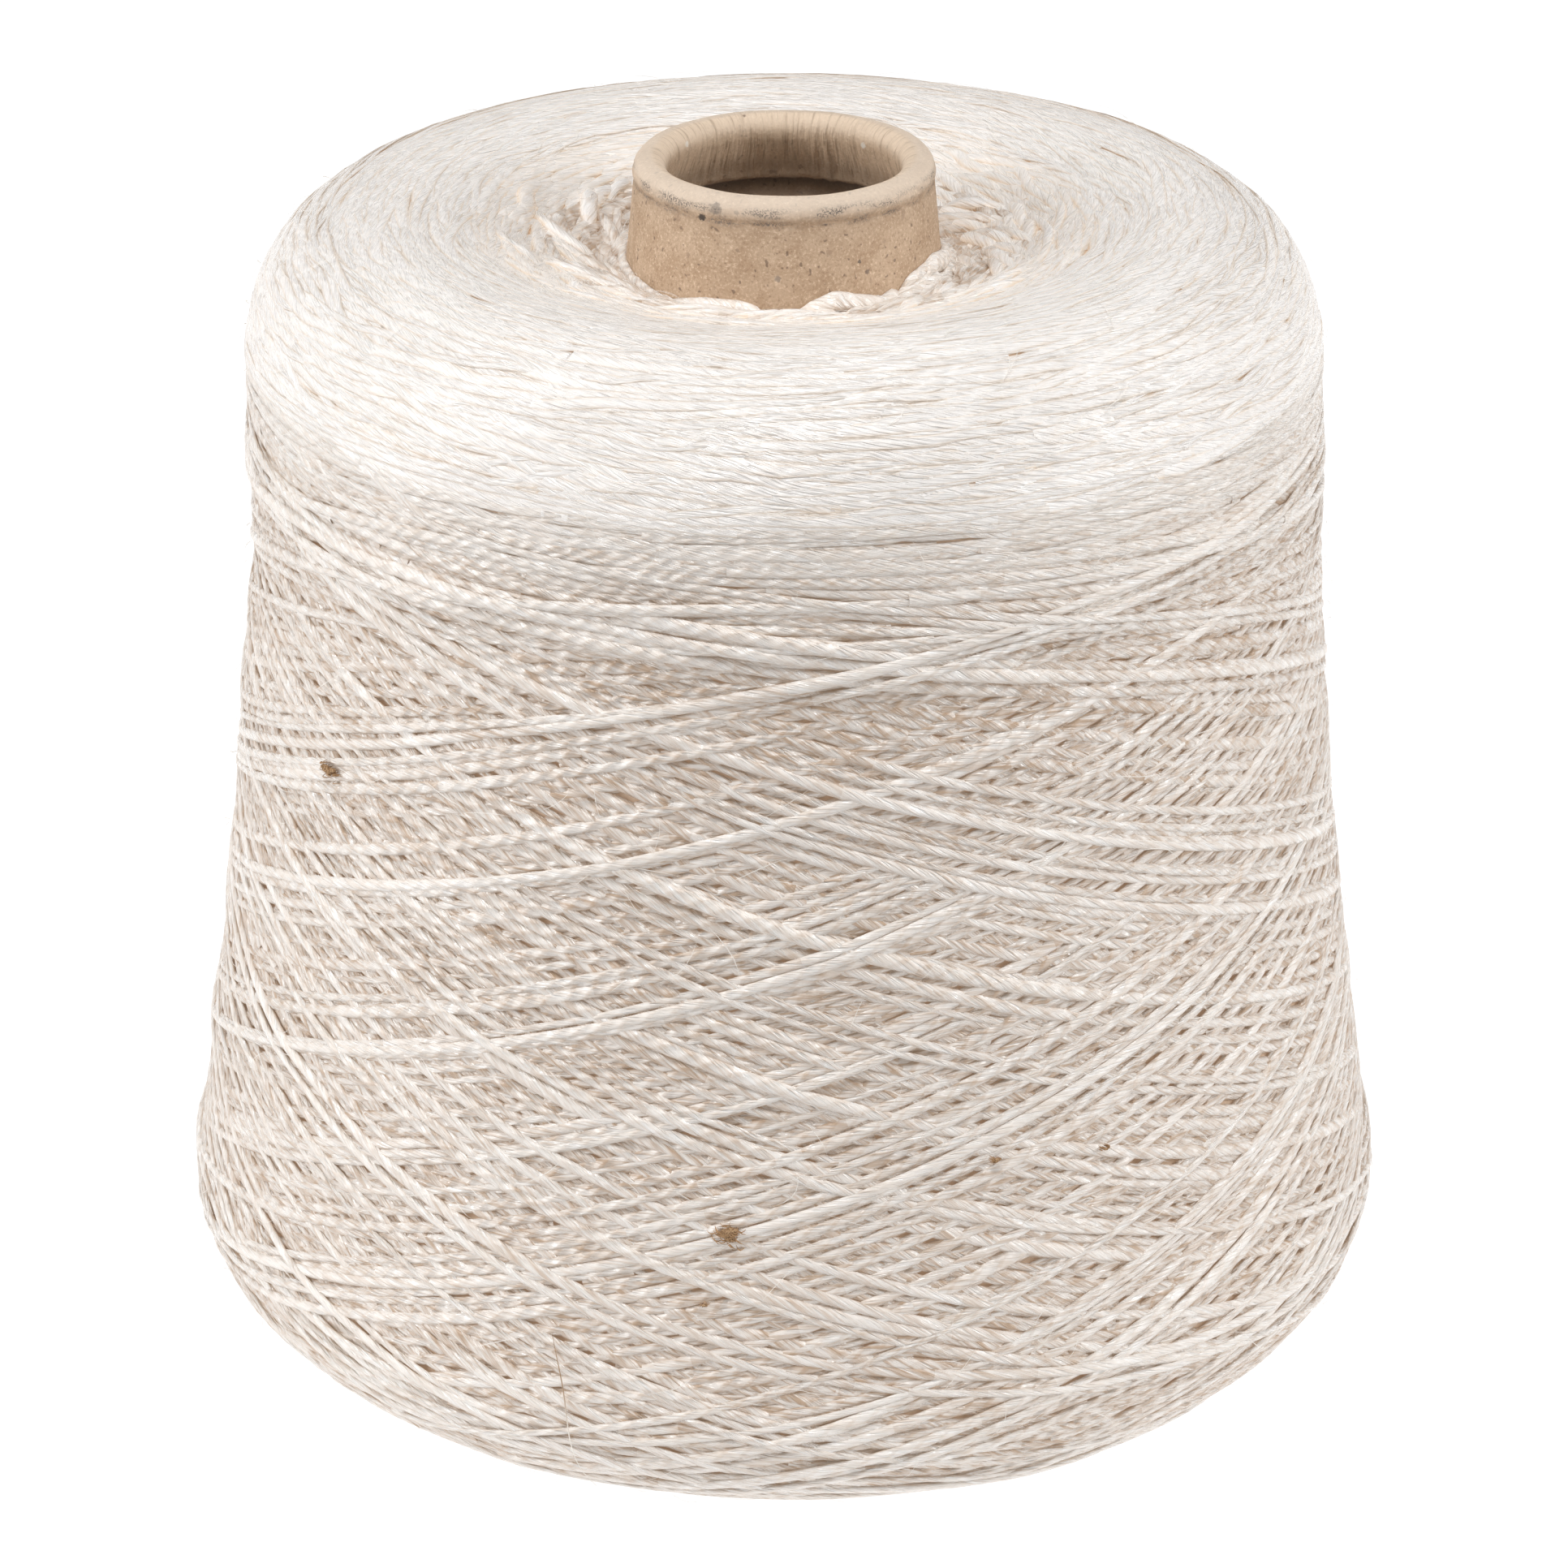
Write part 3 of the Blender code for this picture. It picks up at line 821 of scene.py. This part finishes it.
def yarn_material():
    """Loosely twisted, silky cream yarn. Its texture runs along the rows of the map OFBake:
    across the row is across the strand. Some rows are more tightly twisted than others. It
    carries painted light: painted shade at strand edges, between fibres and on deeper strands,
    painted glints, and a painted glow."""
    finish = Finish("cream_yarn", sheen_weight=0.1, sheen_roughness=0.4, specular_ior_level=1.0,
                    emission_strength=1.0)
    along, rows = finish.split(finish.map_place())[:2]
    along, rows = along * (TILE * 1000.0), rows * float(KINDS * GROUPS)
    group = (rows / float(KINDS)).floor()
    face = group.step(2.4, 2.6)
    deep = (group - face * 3.0) / 2.0
    lane = rows.floor().maths("MODULO", float(KINDS))
    across = rows.fract()

    chance = finish.node("ShaderNodeTexWhiteNoise", settings={"noise_dimensions": "1D"}, W=lane)
    loose = chance.step(0.1, 0.9)
    warp = finish.noise(finish.vector(along * 0.12, lane * 3.7, 0.0), 1.0, 1.0)
    twist = along * 0.30 + warp * 0.8
    ply = ((across * 1.5 - twist + chance * 7.0) * math.pi).sine()
    ply = ply * ply
    fine = finish.noise(finish.vector(along * 0.19, across * 8.0 + along * 0.8, lane * 5.3),
                        1.0, 2.0, 0.65)
    broad = finish.noise(finish.vector(along * 0.14, across * 5.0 + along * 0.5, lane * 2.9),
                         1.0, 1.0)
    slubs = finish.noise(finish.vector(along * 0.05, lane * 9.1, 3.0), 1.0, 1.0)
    lobes = ply * (0.14 + 0.34 * loose) * (1.0 + 0.6 * deep) * (1.0 - 0.7 * face)
    finish.bump(lobes + fine * 1.1 + broad * 0.5, 0.00042)

    # Painted shade at each strand's edges, wider on the deeper strands and on the top face.
    edge = (across - 0.5).absolute().step(0.22 - 0.06 * deep - 0.10 * face, 0.42 - 0.09 * face)
    # The shade mixes cream towards tan: painted shade in the gaps between fibres and plies, at
    # strand edges and, by depth, on the deeper strands.
    shade = fine.step(0.56, 0.36) * (0.30 + 0.18 * deep)
    shade = shade + broad.step(0.50, 0.32) * (0.16 + 0.25 * deep)
    shade = (shade + ply.step(0.35, 0.0) * (0.04 + 0.22 * loose)) * (1.0 - 0.6 * face)
    shade = shade + edge * (0.50 + (0.25 + 0.25 * face) * deep) + deep * 0.24
    shade = shade.maths("MINIMUM", 1.0)

    cream = finish.mix(slubs.step(0.35, 0.7), CREAM, SLUB_CREAM)
    cream = finish.mix(deep, cream, LOWER_CREAM)
    # Painted highlight: glints where the fine fibres are brightest, fewer on the deeper strands.
    cream = finish.mix(fine.step(0.56, 0.66) * (0.8 - 0.35 * deep), cream, PAINTED_GLINT)
    # Painted light: the top face is painted paler than the side.
    cream = finish.mix(face, cream, PAINTED_PALE_FACE_CREAM)
    tan = finish.mix(face, finish.mix(deep, PAINTED_SHADE_TAN, LOWER_PAINTED_SHADE_TAN), FACE_PAINTED_SHADE_TAN)
    # Painted glow: emission, strongest where the shade is and on the top face, standing in for
    # light that comes through the yarn.
    painted_glow = finish.mix(face, finish.mix(deep, PAINTED_GLOW, PAINTED_LOWER_GLOW), PAINTED_FACE_GLOW)
    finish.use("Base Color", finish.mix(shade, cream, tan))
    finish.use("Roughness", 0.38 - 0.24 * fine.step(0.50, 0.63))
    finish.use("Emission Color", finish.mix(shade, PAINTED_CREAM_GLOW, painted_glow))
    finish.material.cycles.emission_sampling = "NONE"
    return finish.material


def core_material():
    """The yarn between the strands: painted shade, with a painted glow that stands in for light
    coming through them.
    """
    finish = Finish("deep_yarn_painted_shade_and_glow", roughness=0.8, emission_strength=1.0)
    grain = finish.noise(finish.object_place(), 900.0, 2.0)
    # Painted shade: a dark tan sheet where there is only shade, with a painted glow (emission) for
    # light through the strands.
    finish.use("Base Color", finish.mix(grain, (0.56, 0.40, 0.28), (0.80, 0.66, 0.52)))
    finish.use("Emission Color", finish.mix(grain, (0.08, 0.055, 0.036), (0.15, 0.11, 0.08)))
    finish.material.cycles.emission_sampling = "NONE"
    return finish.material


def nep_material():
    """Matted brown fibre."""
    finish = Finish("nep_fibre", roughness=0.9)
    grain = finish.noise(finish.object_place(), 4000.0, 2.0, 0.7)
    finish.use("Base Color", finish.mix(grain.step(0.35, 0.65), (0.20, 0.105, 0.045),
                                        (0.52, 0.34, 0.19)))
    finish.bump(grain, 0.0002)
    return finish.material


def hair_material():
    """A hair that is brown at one end and cream at the other."""
    finish = Finish("hair", roughness=0.5)
    along = finish.split(finish.map_place())[0]
    finish.use("Base Color", finish.mix(along.step(0.25, 0.7), (0.40, 0.25, 0.14),
                                        (0.95, 0.90, 0.83)))
    return finish.material


def plain_material(name, colour, roughness):
    return Finish(name, base_color=colour, roughness=roughness).material


# Colours of the paper, with the light and shade painted on it.
KRAFT = (0.47, 0.326, 0.213)
PALE_KRAFT = (0.58, 0.426, 0.297)
BRIGHT_GRAIN = (0.80, 0.64, 0.48)
DARK_GRAIN = (0.31, 0.20, 0.125)
BLOT = (0.30, 0.20, 0.135)
FLECK = (0.17, 0.11, 0.075)
ROLL_PAINTED_HIGHLIGHT = (0.79, 0.68, 0.57)
BEAD_PAINTED_SHADE = (0.40, 0.30, 0.22)
RUBBED_GREY = (0.13, 0.115, 0.105)
FLAP_PAINTED_LIGHT = (0.80, 0.61, 0.43)
CREASE_SHADE = (0.27, 0.18, 0.115)
FLAP_FOOT_PAINTED_SHADE = (0.14, 0.095, 0.065)
BORE_PAINTED_LIGHT = (0.93, 0.84, 0.76)
BORE_PAINTED_SHADE = (0.07, 0.05, 0.038)


def paper_stock(finish, spot, z, grain, clouds):
    """Mottled, grained and flecked paper, painted paler over the roll of the nose as a painted
    highlight.
    """
    flecks = finish.noise(spot, 1150.0, 1.0)
    blots = finish.noise(spot, 620.0, 1.0, 0.6)
    colour = finish.mix(clouds.step(0.3, 0.7), KRAFT, PALE_KRAFT)
    colour = finish.mix(grain.step(0.50, 0.78), colour, BRIGHT_GRAIN)
    colour = finish.mix(grain.step(0.46, 0.26) * 0.85, colour, DARK_GRAIN)
    colour = finish.mix(blots.step(0.69, 0.76) * 0.4, colour, BLOT)
    colour = finish.mix(flecks.step(0.67, 0.75) * 0.7, colour, FLECK)
    # Painted highlight: the roll of the nose is painted paler where it faces the light from above.
    return finish.mix(z.step(166.8, 169.0) * 0.60, colour, ROLL_PAINTED_HIGHLIGHT)


def kraft_material():
    """Kraft paper: mottled, flecked, creased where the nose turns in, and rubbed grey along the
    two pressed lines under the roll. It also carries painted light and shade: paler over the
    roll and the flap, shaded under the roll, in the flap's creases and towards its foot, and
    pale low in the bore but dark just under the flap. Heights and radii are in mm here."""
    finish = Finish("kraft_paper", roughness=0.85)
    spot = finish.object_place()
    x, y, z = (axis * 1000.0 for axis in finish.split(spot))
    around = finish.split(finish.map_place())[0]
    radius = (x * x + y * y) ** 0.5
    grain = finish.noise(spot, 2600.0, 3.0, 0.7)
    clouds = finish.noise(spot, 300.0, 3.0, 0.6)
    colour = paper_stock(finish, spot, z, grain, clouds)

    outside = radius.step(18.2, 18.8)

    def near(height, reach):
        return (z - height).absolute().step(reach, 0.0) * outside

    speckle = finish.noise(spot, 5200.0, 1.0, 0.5)
    smudge = finish.noise(finish.vector(around * 26.0, z * 0.7, 2.0), 1.0, 3.0, 0.6)
    lines = near(168.2, 1.1) + near(166.8, 0.9) * 0.9
    rubbed = smudge.step(0.40, 0.60) * lines * speckle.step(0.42, 0.60)
    # Painted shade: a faint darker band under the overhanging roll.
    colour = finish.mix(near(166.0, 2.4) * 0.12, colour, BEAD_PAINTED_SHADE)
    colour = finish.mix((rubbed * 0.90).maths("MINIMUM", 1.0), colour, RUBBED_GREY)

    flap = radius.step(17.6, 16.6) * z.step(160.4, 160.9)
    creases = finish.noise(finish.vector(around * 170.0, z * 0.16, 7.0), 1.0, 2.0, 0.6)
    # Painted light on the flap inside the nose, painted shade in its creases, and darker painted
    # shade towards its foot, which faces down.
    colour = finish.mix(flap * 0.35, colour, FLAP_PAINTED_LIGHT)
    colour = finish.mix(flap * creases.step(0.50, 0.30) * 0.45, colour, CREASE_SHADE)
    colour = finish.mix(flap * ((1.0 - z.step(161.0, 165.2)) * 0.60), colour, FLAP_FOOT_PAINTED_SHADE)

    within = (radius - 36.0 + z * 0.104).step(0.0, -1.5)
    bore = z.step(160.9, 160.4) * radius.step(34.6, 33.0) * within
    # In the bore: painted light lower down, where light from above reaches, and painted shadow just
    # under the flap.
    colour = finish.mix(bore * z.step(160.0, 155.5) * 0.8, colour, BORE_PAINTED_LIGHT)
    colour = finish.mix(bore * z.step(157.0, 160.4) * 0.85, colour, BORE_PAINTED_SHADE)

    for centre, reach, share, shade in MARKS:
        away = finish.distance(finish.vector(x, y, z), centre) + (grain - 0.5) * (1.6 * reach)
        colour = finish.mix(away.step(reach, 0.6 * reach) * share, colour, shade)
    finish.use("Base Color", colour)
    finish.bump(grain * 0.5 + clouds * 0.8 + smudge * lines * 0.5 + creases * flap * 2.2, 0.00016)
    return finish.material


# ---------------------------------------------------------------- making
def make_yarn():
    """The strands as joined meshes, what is caught in them, and the core behind them, painted dark
    as shade.
    """
    winding = wind()
    quads = Quads()
    add_strands(quads, winding)
    add_collar_locks(quads)
    verts, faces, uvs = quads.joined()
    material = yarn_material()
    for number, first in enumerate(range(0, len(faces), PIECE_FACES), start=1):
        part = slice(first, first + PIECE_FACES)
        piece = mesh_piece(f"yarn_strands_{number}", verts, faces[part], uvs[part], material)
        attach(piece, "root")
    make_loose_fibres()
    make_hair()
    make_neps()
    make_nep_threads()
    core = make_core()
    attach(core, "root")
    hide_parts("wound_yarn")


def grid_piece(name, grid, v, material, closed=False):
    """An object from a grid of points, first axis round the cone, second along the section;
    v is the height of each of its rows in the texture."""
    rounds, rows = grid.shape[:2]
    i, j = np.meshgrid(np.arange(rounds), np.arange(rows - (not closed)), indexing="ij")
    i, j = i.ravel(), j.ravel()
    k, m = (i + 1) % rounds, (j + 1) % rows
    faces = np.stack([i * rows + j, i * rows + m, k * rows + m, k * rows + j], axis=-1)
    uvs = uv_corners(i / rounds, (i + 1) / rounds, v[j], v[j + 1])
    return mesh_piece(name, grid.reshape(-1, 3), faces, uvs, material)


CORE_ROUNDS = 128
CORE_EVERY = 5              # cells of the section to a row of the core
CORE_GAP = 0.0002           # between the deepest strands and the core


def make_core():
    """The surface behind the strands, just below the deepest of them, painted as shade."""
    u = SECTION_U[::CORE_EVERY]
    theta = np.arange(CORE_ROUNDS) * math.tau / CORE_ROUNDS
    around, along = np.meshgrid(theta, u, indexing="ij")
    grid = place(around, along, bulge(around, along) - (PACKING + CORE_GAP) * relief(along))
    return grid_piece("yarn_core", grid, np.linspace(0.0, 1.0, len(u)), core_material())


CONE_ROUNDS = 240
BEVEL = 0.0003              # of the paper's cut edge
NECK_FOOT = 0.1500          # the section's points lie closer above this
# The two lines pressed round the paper under its roll: height, depth, reach.
PRESSED_LINES = ((0.16835, 0.00014, 0.00035), (0.1670, 0.00009, 0.00050))
# The texture's rows: up the flap, over the nose and down the neck to the first share, down
# the wall to the second, and up the inside.
NECK_ROWS = 0.6
WALL_ROWS = 0.8


def ripple(rng, theta, cycles, reach):
    """A closed wave round the cone, made of a few cycle counts."""
    total = np.zeros_like(theta)
    for cycle in cycles:
        total += rng.uniform(0.5, 1.0) * np.cos(cycle * theta + rng.uniform(0.0, math.tau))
    return total * reach / math.sqrt(len(cycles))


def cone_section():
    """Radius, height and texture row of the paper cone's section: up the rolled-in flap, over
    the nose, down the outside, across the cut edge and up the inside."""
    centre = CONE_HEIGHT - NOSE_ROLL
    bore = NOSE_ROLL_CIRCLE - NOSE_ROLL
    foot = centre - FLAP_DROP
    share = np.linspace(0.0, 1.0, 18, endpoint=False)
    turn = np.radians(np.linspace(180.0, -22.5, 40))
    neck = np.linspace(CREASE_HEIGHT, NECK_FOOT, 36)
    wall = np.linspace(0.1460, BEVEL, 12)
    inside = np.linspace(BEVEL, foot - 2 * BEVEL, 16)
    crease = np.interp(neck, [NECK_HEIGHT, CREASE_HEIGHT], [NECK_RADIUS, CREASE_RADIUS])
    base = cone_radius(0.0)
    radius = np.concatenate([
        bore + FLAP_FLARE * (1.0 - blend(share, 0.0, 1.0)),
        NOSE_ROLL_CIRCLE + NOSE_ROLL * np.cos(turn),
        np.where(neck > NECK_HEIGHT, crease, cone_radius(neck)),
        cone_radius(wall),
        [base - BEVEL, base - CONE_WALL + BEVEL],
        cone_radius(inside) - CONE_WALL,
        [bore + FLAP_FLARE + BEVEL]])
    height = np.concatenate([
        foot + FLAP_DROP * share,
        centre + NOSE_ROLL * np.sin(turn),
        neck,
        wall,
        [0.0, 0.0],
        inside,
        [foot - BEVEL]])
    row = np.concatenate([
        np.linspace(0.0, NECK_ROWS, len(share) + len(turn) + len(neck), endpoint=False),
        np.linspace(NECK_ROWS, WALL_ROWS, len(wall), endpoint=False),
        np.linspace(WALL_ROWS, 1.0, len(inside) + 4)])
    return radius, height, row


def press_lines(rng, around, r, z):
    """The radius with the two pressed lines in it, uneven round the nose."""
    outer = (r > NOSE_ROLL_CIRCLE) & (z > 0.140)
    for level, depth, reach in PRESSED_LINES:
        strength = 0.6 + ripple(rng, around, (2, 3, 7, 11), 0.4)
        middle = level + ripple(rng, around, (1, 2, 5), 0.00012)
        r = r - outer * depth * np.clip(strength, 0.0, 1.2) * np.exp(-((z - middle) / reach) ** 2)
    return r


def crease_flap(rng, around, r, z):
    """The radius and height with fine creases down the flap, and its foot uneven."""
    inner = (r < NOSE_ROLL_CIRCLE) & (z > 0.1606)
    hang = inner * blend(-z, -0.1688, -0.1640)
    creases = ripple(rng, around, (38, 47, 59, 71, 83), 0.00019)
    creases *= 0.45 + 0.55 * blend(np.sin(around), -0.2, 0.8)
    uneven = hang * blend(-z, -0.1650, -0.1612) * ripple(rng, around, (3, 9, 17, 41), 0.00022)
    return r + hang * creases, z + uneven


def make_paper_cone():
    """The cone of kraft paper, a little out of round, with creases where the nose turns in."""
    rng = np.random.default_rng(5)
    radius, height, row = cone_section()
    theta = math.pi / 2 + np.arange(CONE_ROUNDS) * math.tau / CONE_ROUNDS
    around = theta[:, None] + np.zeros((1, len(radius)))
    z = np.broadcast_to(height, around.shape).copy()
    r = press_lines(rng, around, np.broadcast_to(radius, around.shape), z)
    nose = blend(z, 0.158, 0.166)
    r = r + nose * ripple(rng, around, (2, 3, 5), 0.00010)
    z -= nose * (0.00012 + ripple(rng, around, (2, 3, 4, 9), 0.00008)) * (z > 0.1665)
    r, z = crease_flap(rng, around, r, z)
    z = np.clip(z, 0.0, CONE_HEIGHT)
    grid = np.stack([r * np.cos(around), r * np.sin(around), z], axis=-1)
    piece = grid_piece("paper_cone_detail", grid, row, kraft_material(), closed=True)
    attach(piece, "root")
    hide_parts("paper_cone")


# Small things caught in the yarn: angle round the package in degrees, then mm along the
# section, across and above it.
NEPS = (
    (-142.3, 103.5, 2.20, 0.6),
    (-95.2, 152.5, 2.70, 0.5),
    (-69.9, 144.5, 0.90, 0.9),
    (-58.3, 146.5, 0.80, 0.9),
    (-97.2, 162.0, 0.60, 0.8),
    (12.0, 118.0, 0.60, 0.9),
    (71.0, 141.0, 0.45, 0.9),
    (133.0, 96.0, 0.55, 0.9),
    (160.0, 158.0, 0.40, 0.9),
)
HAIR_WIDTH = 0.00017
HAIR_HEAD = (-111.45, 0.1685)   # where the longer hair starts: degrees, and along the section
HAIR_LENGTH = 0.0225            # down the section, and degrees round the package
HAIR_TURN = 3.4


def ribbon_piece(name, paths, widths, material):
    """Threads of two sloping faces through paths of (theta, u, lift), as one joined mesh."""
    quads = Quads()
    for (theta, u, lift), width in zip(paths, widths):
        count = len(theta)
        centre = place(theta, u, lift)
        above = place(theta, u, lift + 0.001) - centre
        beside = np.cross(np.gradient(centre, axis=0), above)
        beside /= np.linalg.norm(beside, axis=1, keepdims=True)
        taper = np.sin(np.linspace(0.35, math.pi - 0.12, count)) * width / 2
        raised = above / np.linalg.norm(above, axis=1, keepdims=True) * (width * 0.35)
        points = np.stack([centre - beside * taper[:, None], centre + raised,
                           centre + beside * taper[:, None]], axis=1)
        x = np.linspace(0.0, 1.0, count)
        faces, uvs = [], []
        for side in (0, 1):
            corner = 3 * np.arange(count - 1) + side
            faces.append(np.stack([corner, corner + 1, corner + 4, corner + 3], axis=-1))
            y0, y1 = np.full(count - 1, side / 2), np.full(count - 1, (side + 1) / 2)
            uvs.append(uv_corners(x[:-1], x[1:], y0, y1))
        quads.add(points, np.concatenate(faces), np.concatenate(uvs))
    return mesh_piece(name, *quads.joined(), material)


def make_loose_fibres():
    """Fine loose fibres that stand off the strands."""
    rng = np.random.default_rng(8)
    share = np.linspace(0.0, 1.0, 6)
    paths, widths = [], []
    for _ in range(FIBRES):
        u0 = rng.uniform(0.001, SECTION_LENGTH - 0.004)
        theta0 = rng.uniform(0.0, math.tau)
        radius = float(np.interp(u0, SECTION_U, SECTION_R))
        length = rng.uniform(0.003, 0.009)
        lean = math.radians(rng.normal(0.0, 28.0))
        bend = rng.normal(0.0, 0.25) * share ** 2
        theta = theta0 + length * share * np.cos(lean + bend) / radius
        u = np.clip(u0 + length * share * np.sin(lean + bend), 0.0, SECTION_LENGTH - 0.0005)
        lift = 0.00015 + rng.uniform(0.0002, 0.0011) * np.sin(share * rng.uniform(1.6, 3.0))
        paths.append((theta, u, lift + bulge(theta, u)))
        widths.append(rng.uniform(0.00006, 0.00011))
    piece = ribbon_piece("loose_fibres", paths, widths,
                         plain_material("loose_fibre", (0.90, 0.85, 0.79), 0.4))
    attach(piece, "root")


def make_hair():
    """One longer hair near the foot."""
    degrees, head = HAIR_HEAD
    share = np.linspace(0.0, 1.0, 40)
    curl = 0.15 * np.sin(share * 8.0)
    theta = np.radians(degrees + HAIR_TURN * share + curl + 0.2 * np.sin(share * 3.0))
    u = head + HAIR_LENGTH * share
    lift = 0.0006 + 0.0005 * share + 0.0003 * np.sin(share * 11.0) + bulge(theta, u)
    piece = ribbon_piece("loose_hair", [(theta, u, lift)], [HAIR_WIDTH], hair_material())
    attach(piece, "root")


def make_neps():
    """Little knots of brown fibre caught in the yarn."""
    rng = np.random.default_rng(4)
    material = nep_material()
    rounds, rows = 14, 9
    angle = np.linspace(0.0, math.tau, rounds, endpoint=False)[:, None]
    polar = np.linspace(0.02, math.pi - 0.02, rows)[None, :]
    for number, (degrees, u_mm, across, above) in enumerate(NEPS, start=1):
        uneven = 1.0 + 0.45 * ripple(rng, angle + 0.0 * polar, (1, 2, 3), 1.0) * np.sin(polar)
        size = across * 0.00036 * uneven
        theta0, u0 = math.radians(degrees), u_mm / 1000.0
        radius = float(np.interp(u0, SECTION_U, SECTION_R))
        theta = theta0 + 1.5 * size * np.cos(angle) * np.sin(polar) / radius
        u = u0 + 0.8 * size * np.sin(angle) * np.sin(polar)
        lift = above / 1000.0 + 0.6 * size * np.cos(polar) + bulge(theta, u)
        grid = place(theta, u, lift)
        piece = grid_piece(f"nep_{number}", grid, np.linspace(0.0, 1.0, rows), material)
        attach(piece, "root")


def make_nep_threads():
    """Short brown threads, tangled over and beside each knot."""
    rng = np.random.default_rng(6)
    share = np.linspace(-0.5, 0.5, 6)
    paths, widths = [], []
    for degrees, u_mm, across, above in NEPS:
        u0 = u_mm / 1000.0
        radius = float(np.interp(u0, SECTION_U, SECTION_R))
        for _ in range(int(8 + 12 * across)):
            lean = rng.normal(0.2, 0.32)
            bend = rng.normal(0.0, 0.6) * share
            length = across * rng.uniform(0.0004, 0.0007)
            aside = across * rng.normal(0.0, 0.00036) + length * share * np.cos(lean + bend)
            down = across * rng.normal(0.0, 0.00020) + length * share * np.sin(lean + bend)
            theta = math.radians(degrees) + aside / radius
            u = u0 + down
            lift = (above + 0.30 * across * rng.uniform(0.1, 1.0)) / 1000.0
            lift = lift - 0.0010 * (2.0 * share) ** 2 + bulge(theta, u)
            paths.append((theta, u, lift))
            widths.append(rng.uniform(0.00011, 0.00020))
    piece = ribbon_piece("nep_threads", paths, widths,
                         plain_material("nep_thread", (0.40, 0.235, 0.115), 0.8))
    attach(piece, "root")


# ---------------------------------------------------------------- the studio
FLOOR_REACH = 3.0
SKY_STRENGTH = 0.22
AIM_HEIGHT = 0.08           # the lights face the middle of the package
# Each soft light: name, size, power in watts, place.
LIGHTS = (
    ("overhead", 0.45, 5.8, (0.0, -0.34, 1.09)),
    ("left", 0.5, 7.3, (-1.08, -0.25, 0.57)),
    ("right", 0.5, 5.7, (1.08, -0.25, 0.57)),
)
# The camera, fitted to the photograph.
PHOTO_SIDE = 1932.0         # pixels
CAMERA_SHIFT = -57.0        # pixels
SENSOR_WIDTH = 36.0         # mm, and so is the lens
LENS = 128.42
CAMERA_ELEVATION = 24.73    # degrees
CAMERA_DISTANCE = 0.757125
CAMERA_AIM_HEIGHT = 0.0867125


def make_light(name, size, power, location):
    """A round soft box that faces the middle of the package."""
    light = bpy.data.lights.new(name, "AREA")
    light.shape = "DISK"
    light.size = size
    light.energy = power
    lamp = bpy.data.objects.new(name, light)
    lamp.location = location
    facing = Vector((0.0, 0.0, AIM_HEIGHT)) - lamp.location
    lamp.rotation_euler = facing.to_track_quat("-Z", "Y").to_euler()
    bpy.context.scene.collection.objects.link(lamp)


def sweep_material():
    """White paper that is lit from behind where the camera sees it, and plain in front."""
    finish = Finish("white_sweep", roughness=0.9, emission_strength=0.93)
    lit = finish.split(finish.object_place())[1].step(-0.30, -0.09)
    finish.use("Base Color", finish.mix(lit, (0.40, 0.40, 0.40), (0.25, 0.25, 0.25)))
    finish.use("Emission Color", finish.mix(lit, (0.25, 0.25, 0.25), (1.0, 1.0, 1.0)))
    return finish.material


def make_floor():
    """A white floor that glows a little, as a lit sweep does."""
    mesh = bpy.data.meshes.new("floor")
    far = FLOOR_REACH
    mesh.from_pydata([(-far, -far, 0), (far, -far, 0), (far, far, 0), (-far, far, 0)],
                     [], [(0, 1, 2, 3)])
    mesh.materials.append(sweep_material())
    floor = bpy.data.objects.new("floor", mesh)
    bpy.context.scene.collection.objects.link(floor)


def make_studio():
    """Plain colours, an even pale sky, the floor and the lights."""
    scene = bpy.context.scene
    scene.view_settings.view_transform = "Standard"
    world = bpy.data.worlds.new("studio")
    scene.world = world
    world.use_nodes = True
    sky = world.node_tree.nodes["Background"]
    sky.inputs["Color"].default_value = (1.0, 1.0, 1.0, 1.0)
    sky.inputs["Strength"].default_value = SKY_STRENGTH
    make_floor()
    for light in LIGHTS:
        make_light(*light)


def make_camera():
    data = bpy.data.cameras.new("camera")
    data.sensor_width = SENSOR_WIDTH
    data.lens = LENS
    data.shift_y = CAMERA_SHIFT / PHOTO_SIDE
    data.clip_start = 0.01
    camera = bpy.data.objects.new("camera", data)
    elevation = math.radians(CAMERA_ELEVATION)
    camera.location = (0.0, -CAMERA_DISTANCE * math.cos(elevation),
                       CAMERA_AIM_HEIGHT + CAMERA_DISTANCE * math.sin(elevation))
    camera.rotation_euler = (math.pi / 2 - elevation, 0.0, 0.0)
    bpy.context.scene.collection.objects.link(camera)
    bpy.context.scene.camera = camera


make_camera()
make_studio()
make_yarn()
make_paper_cone()
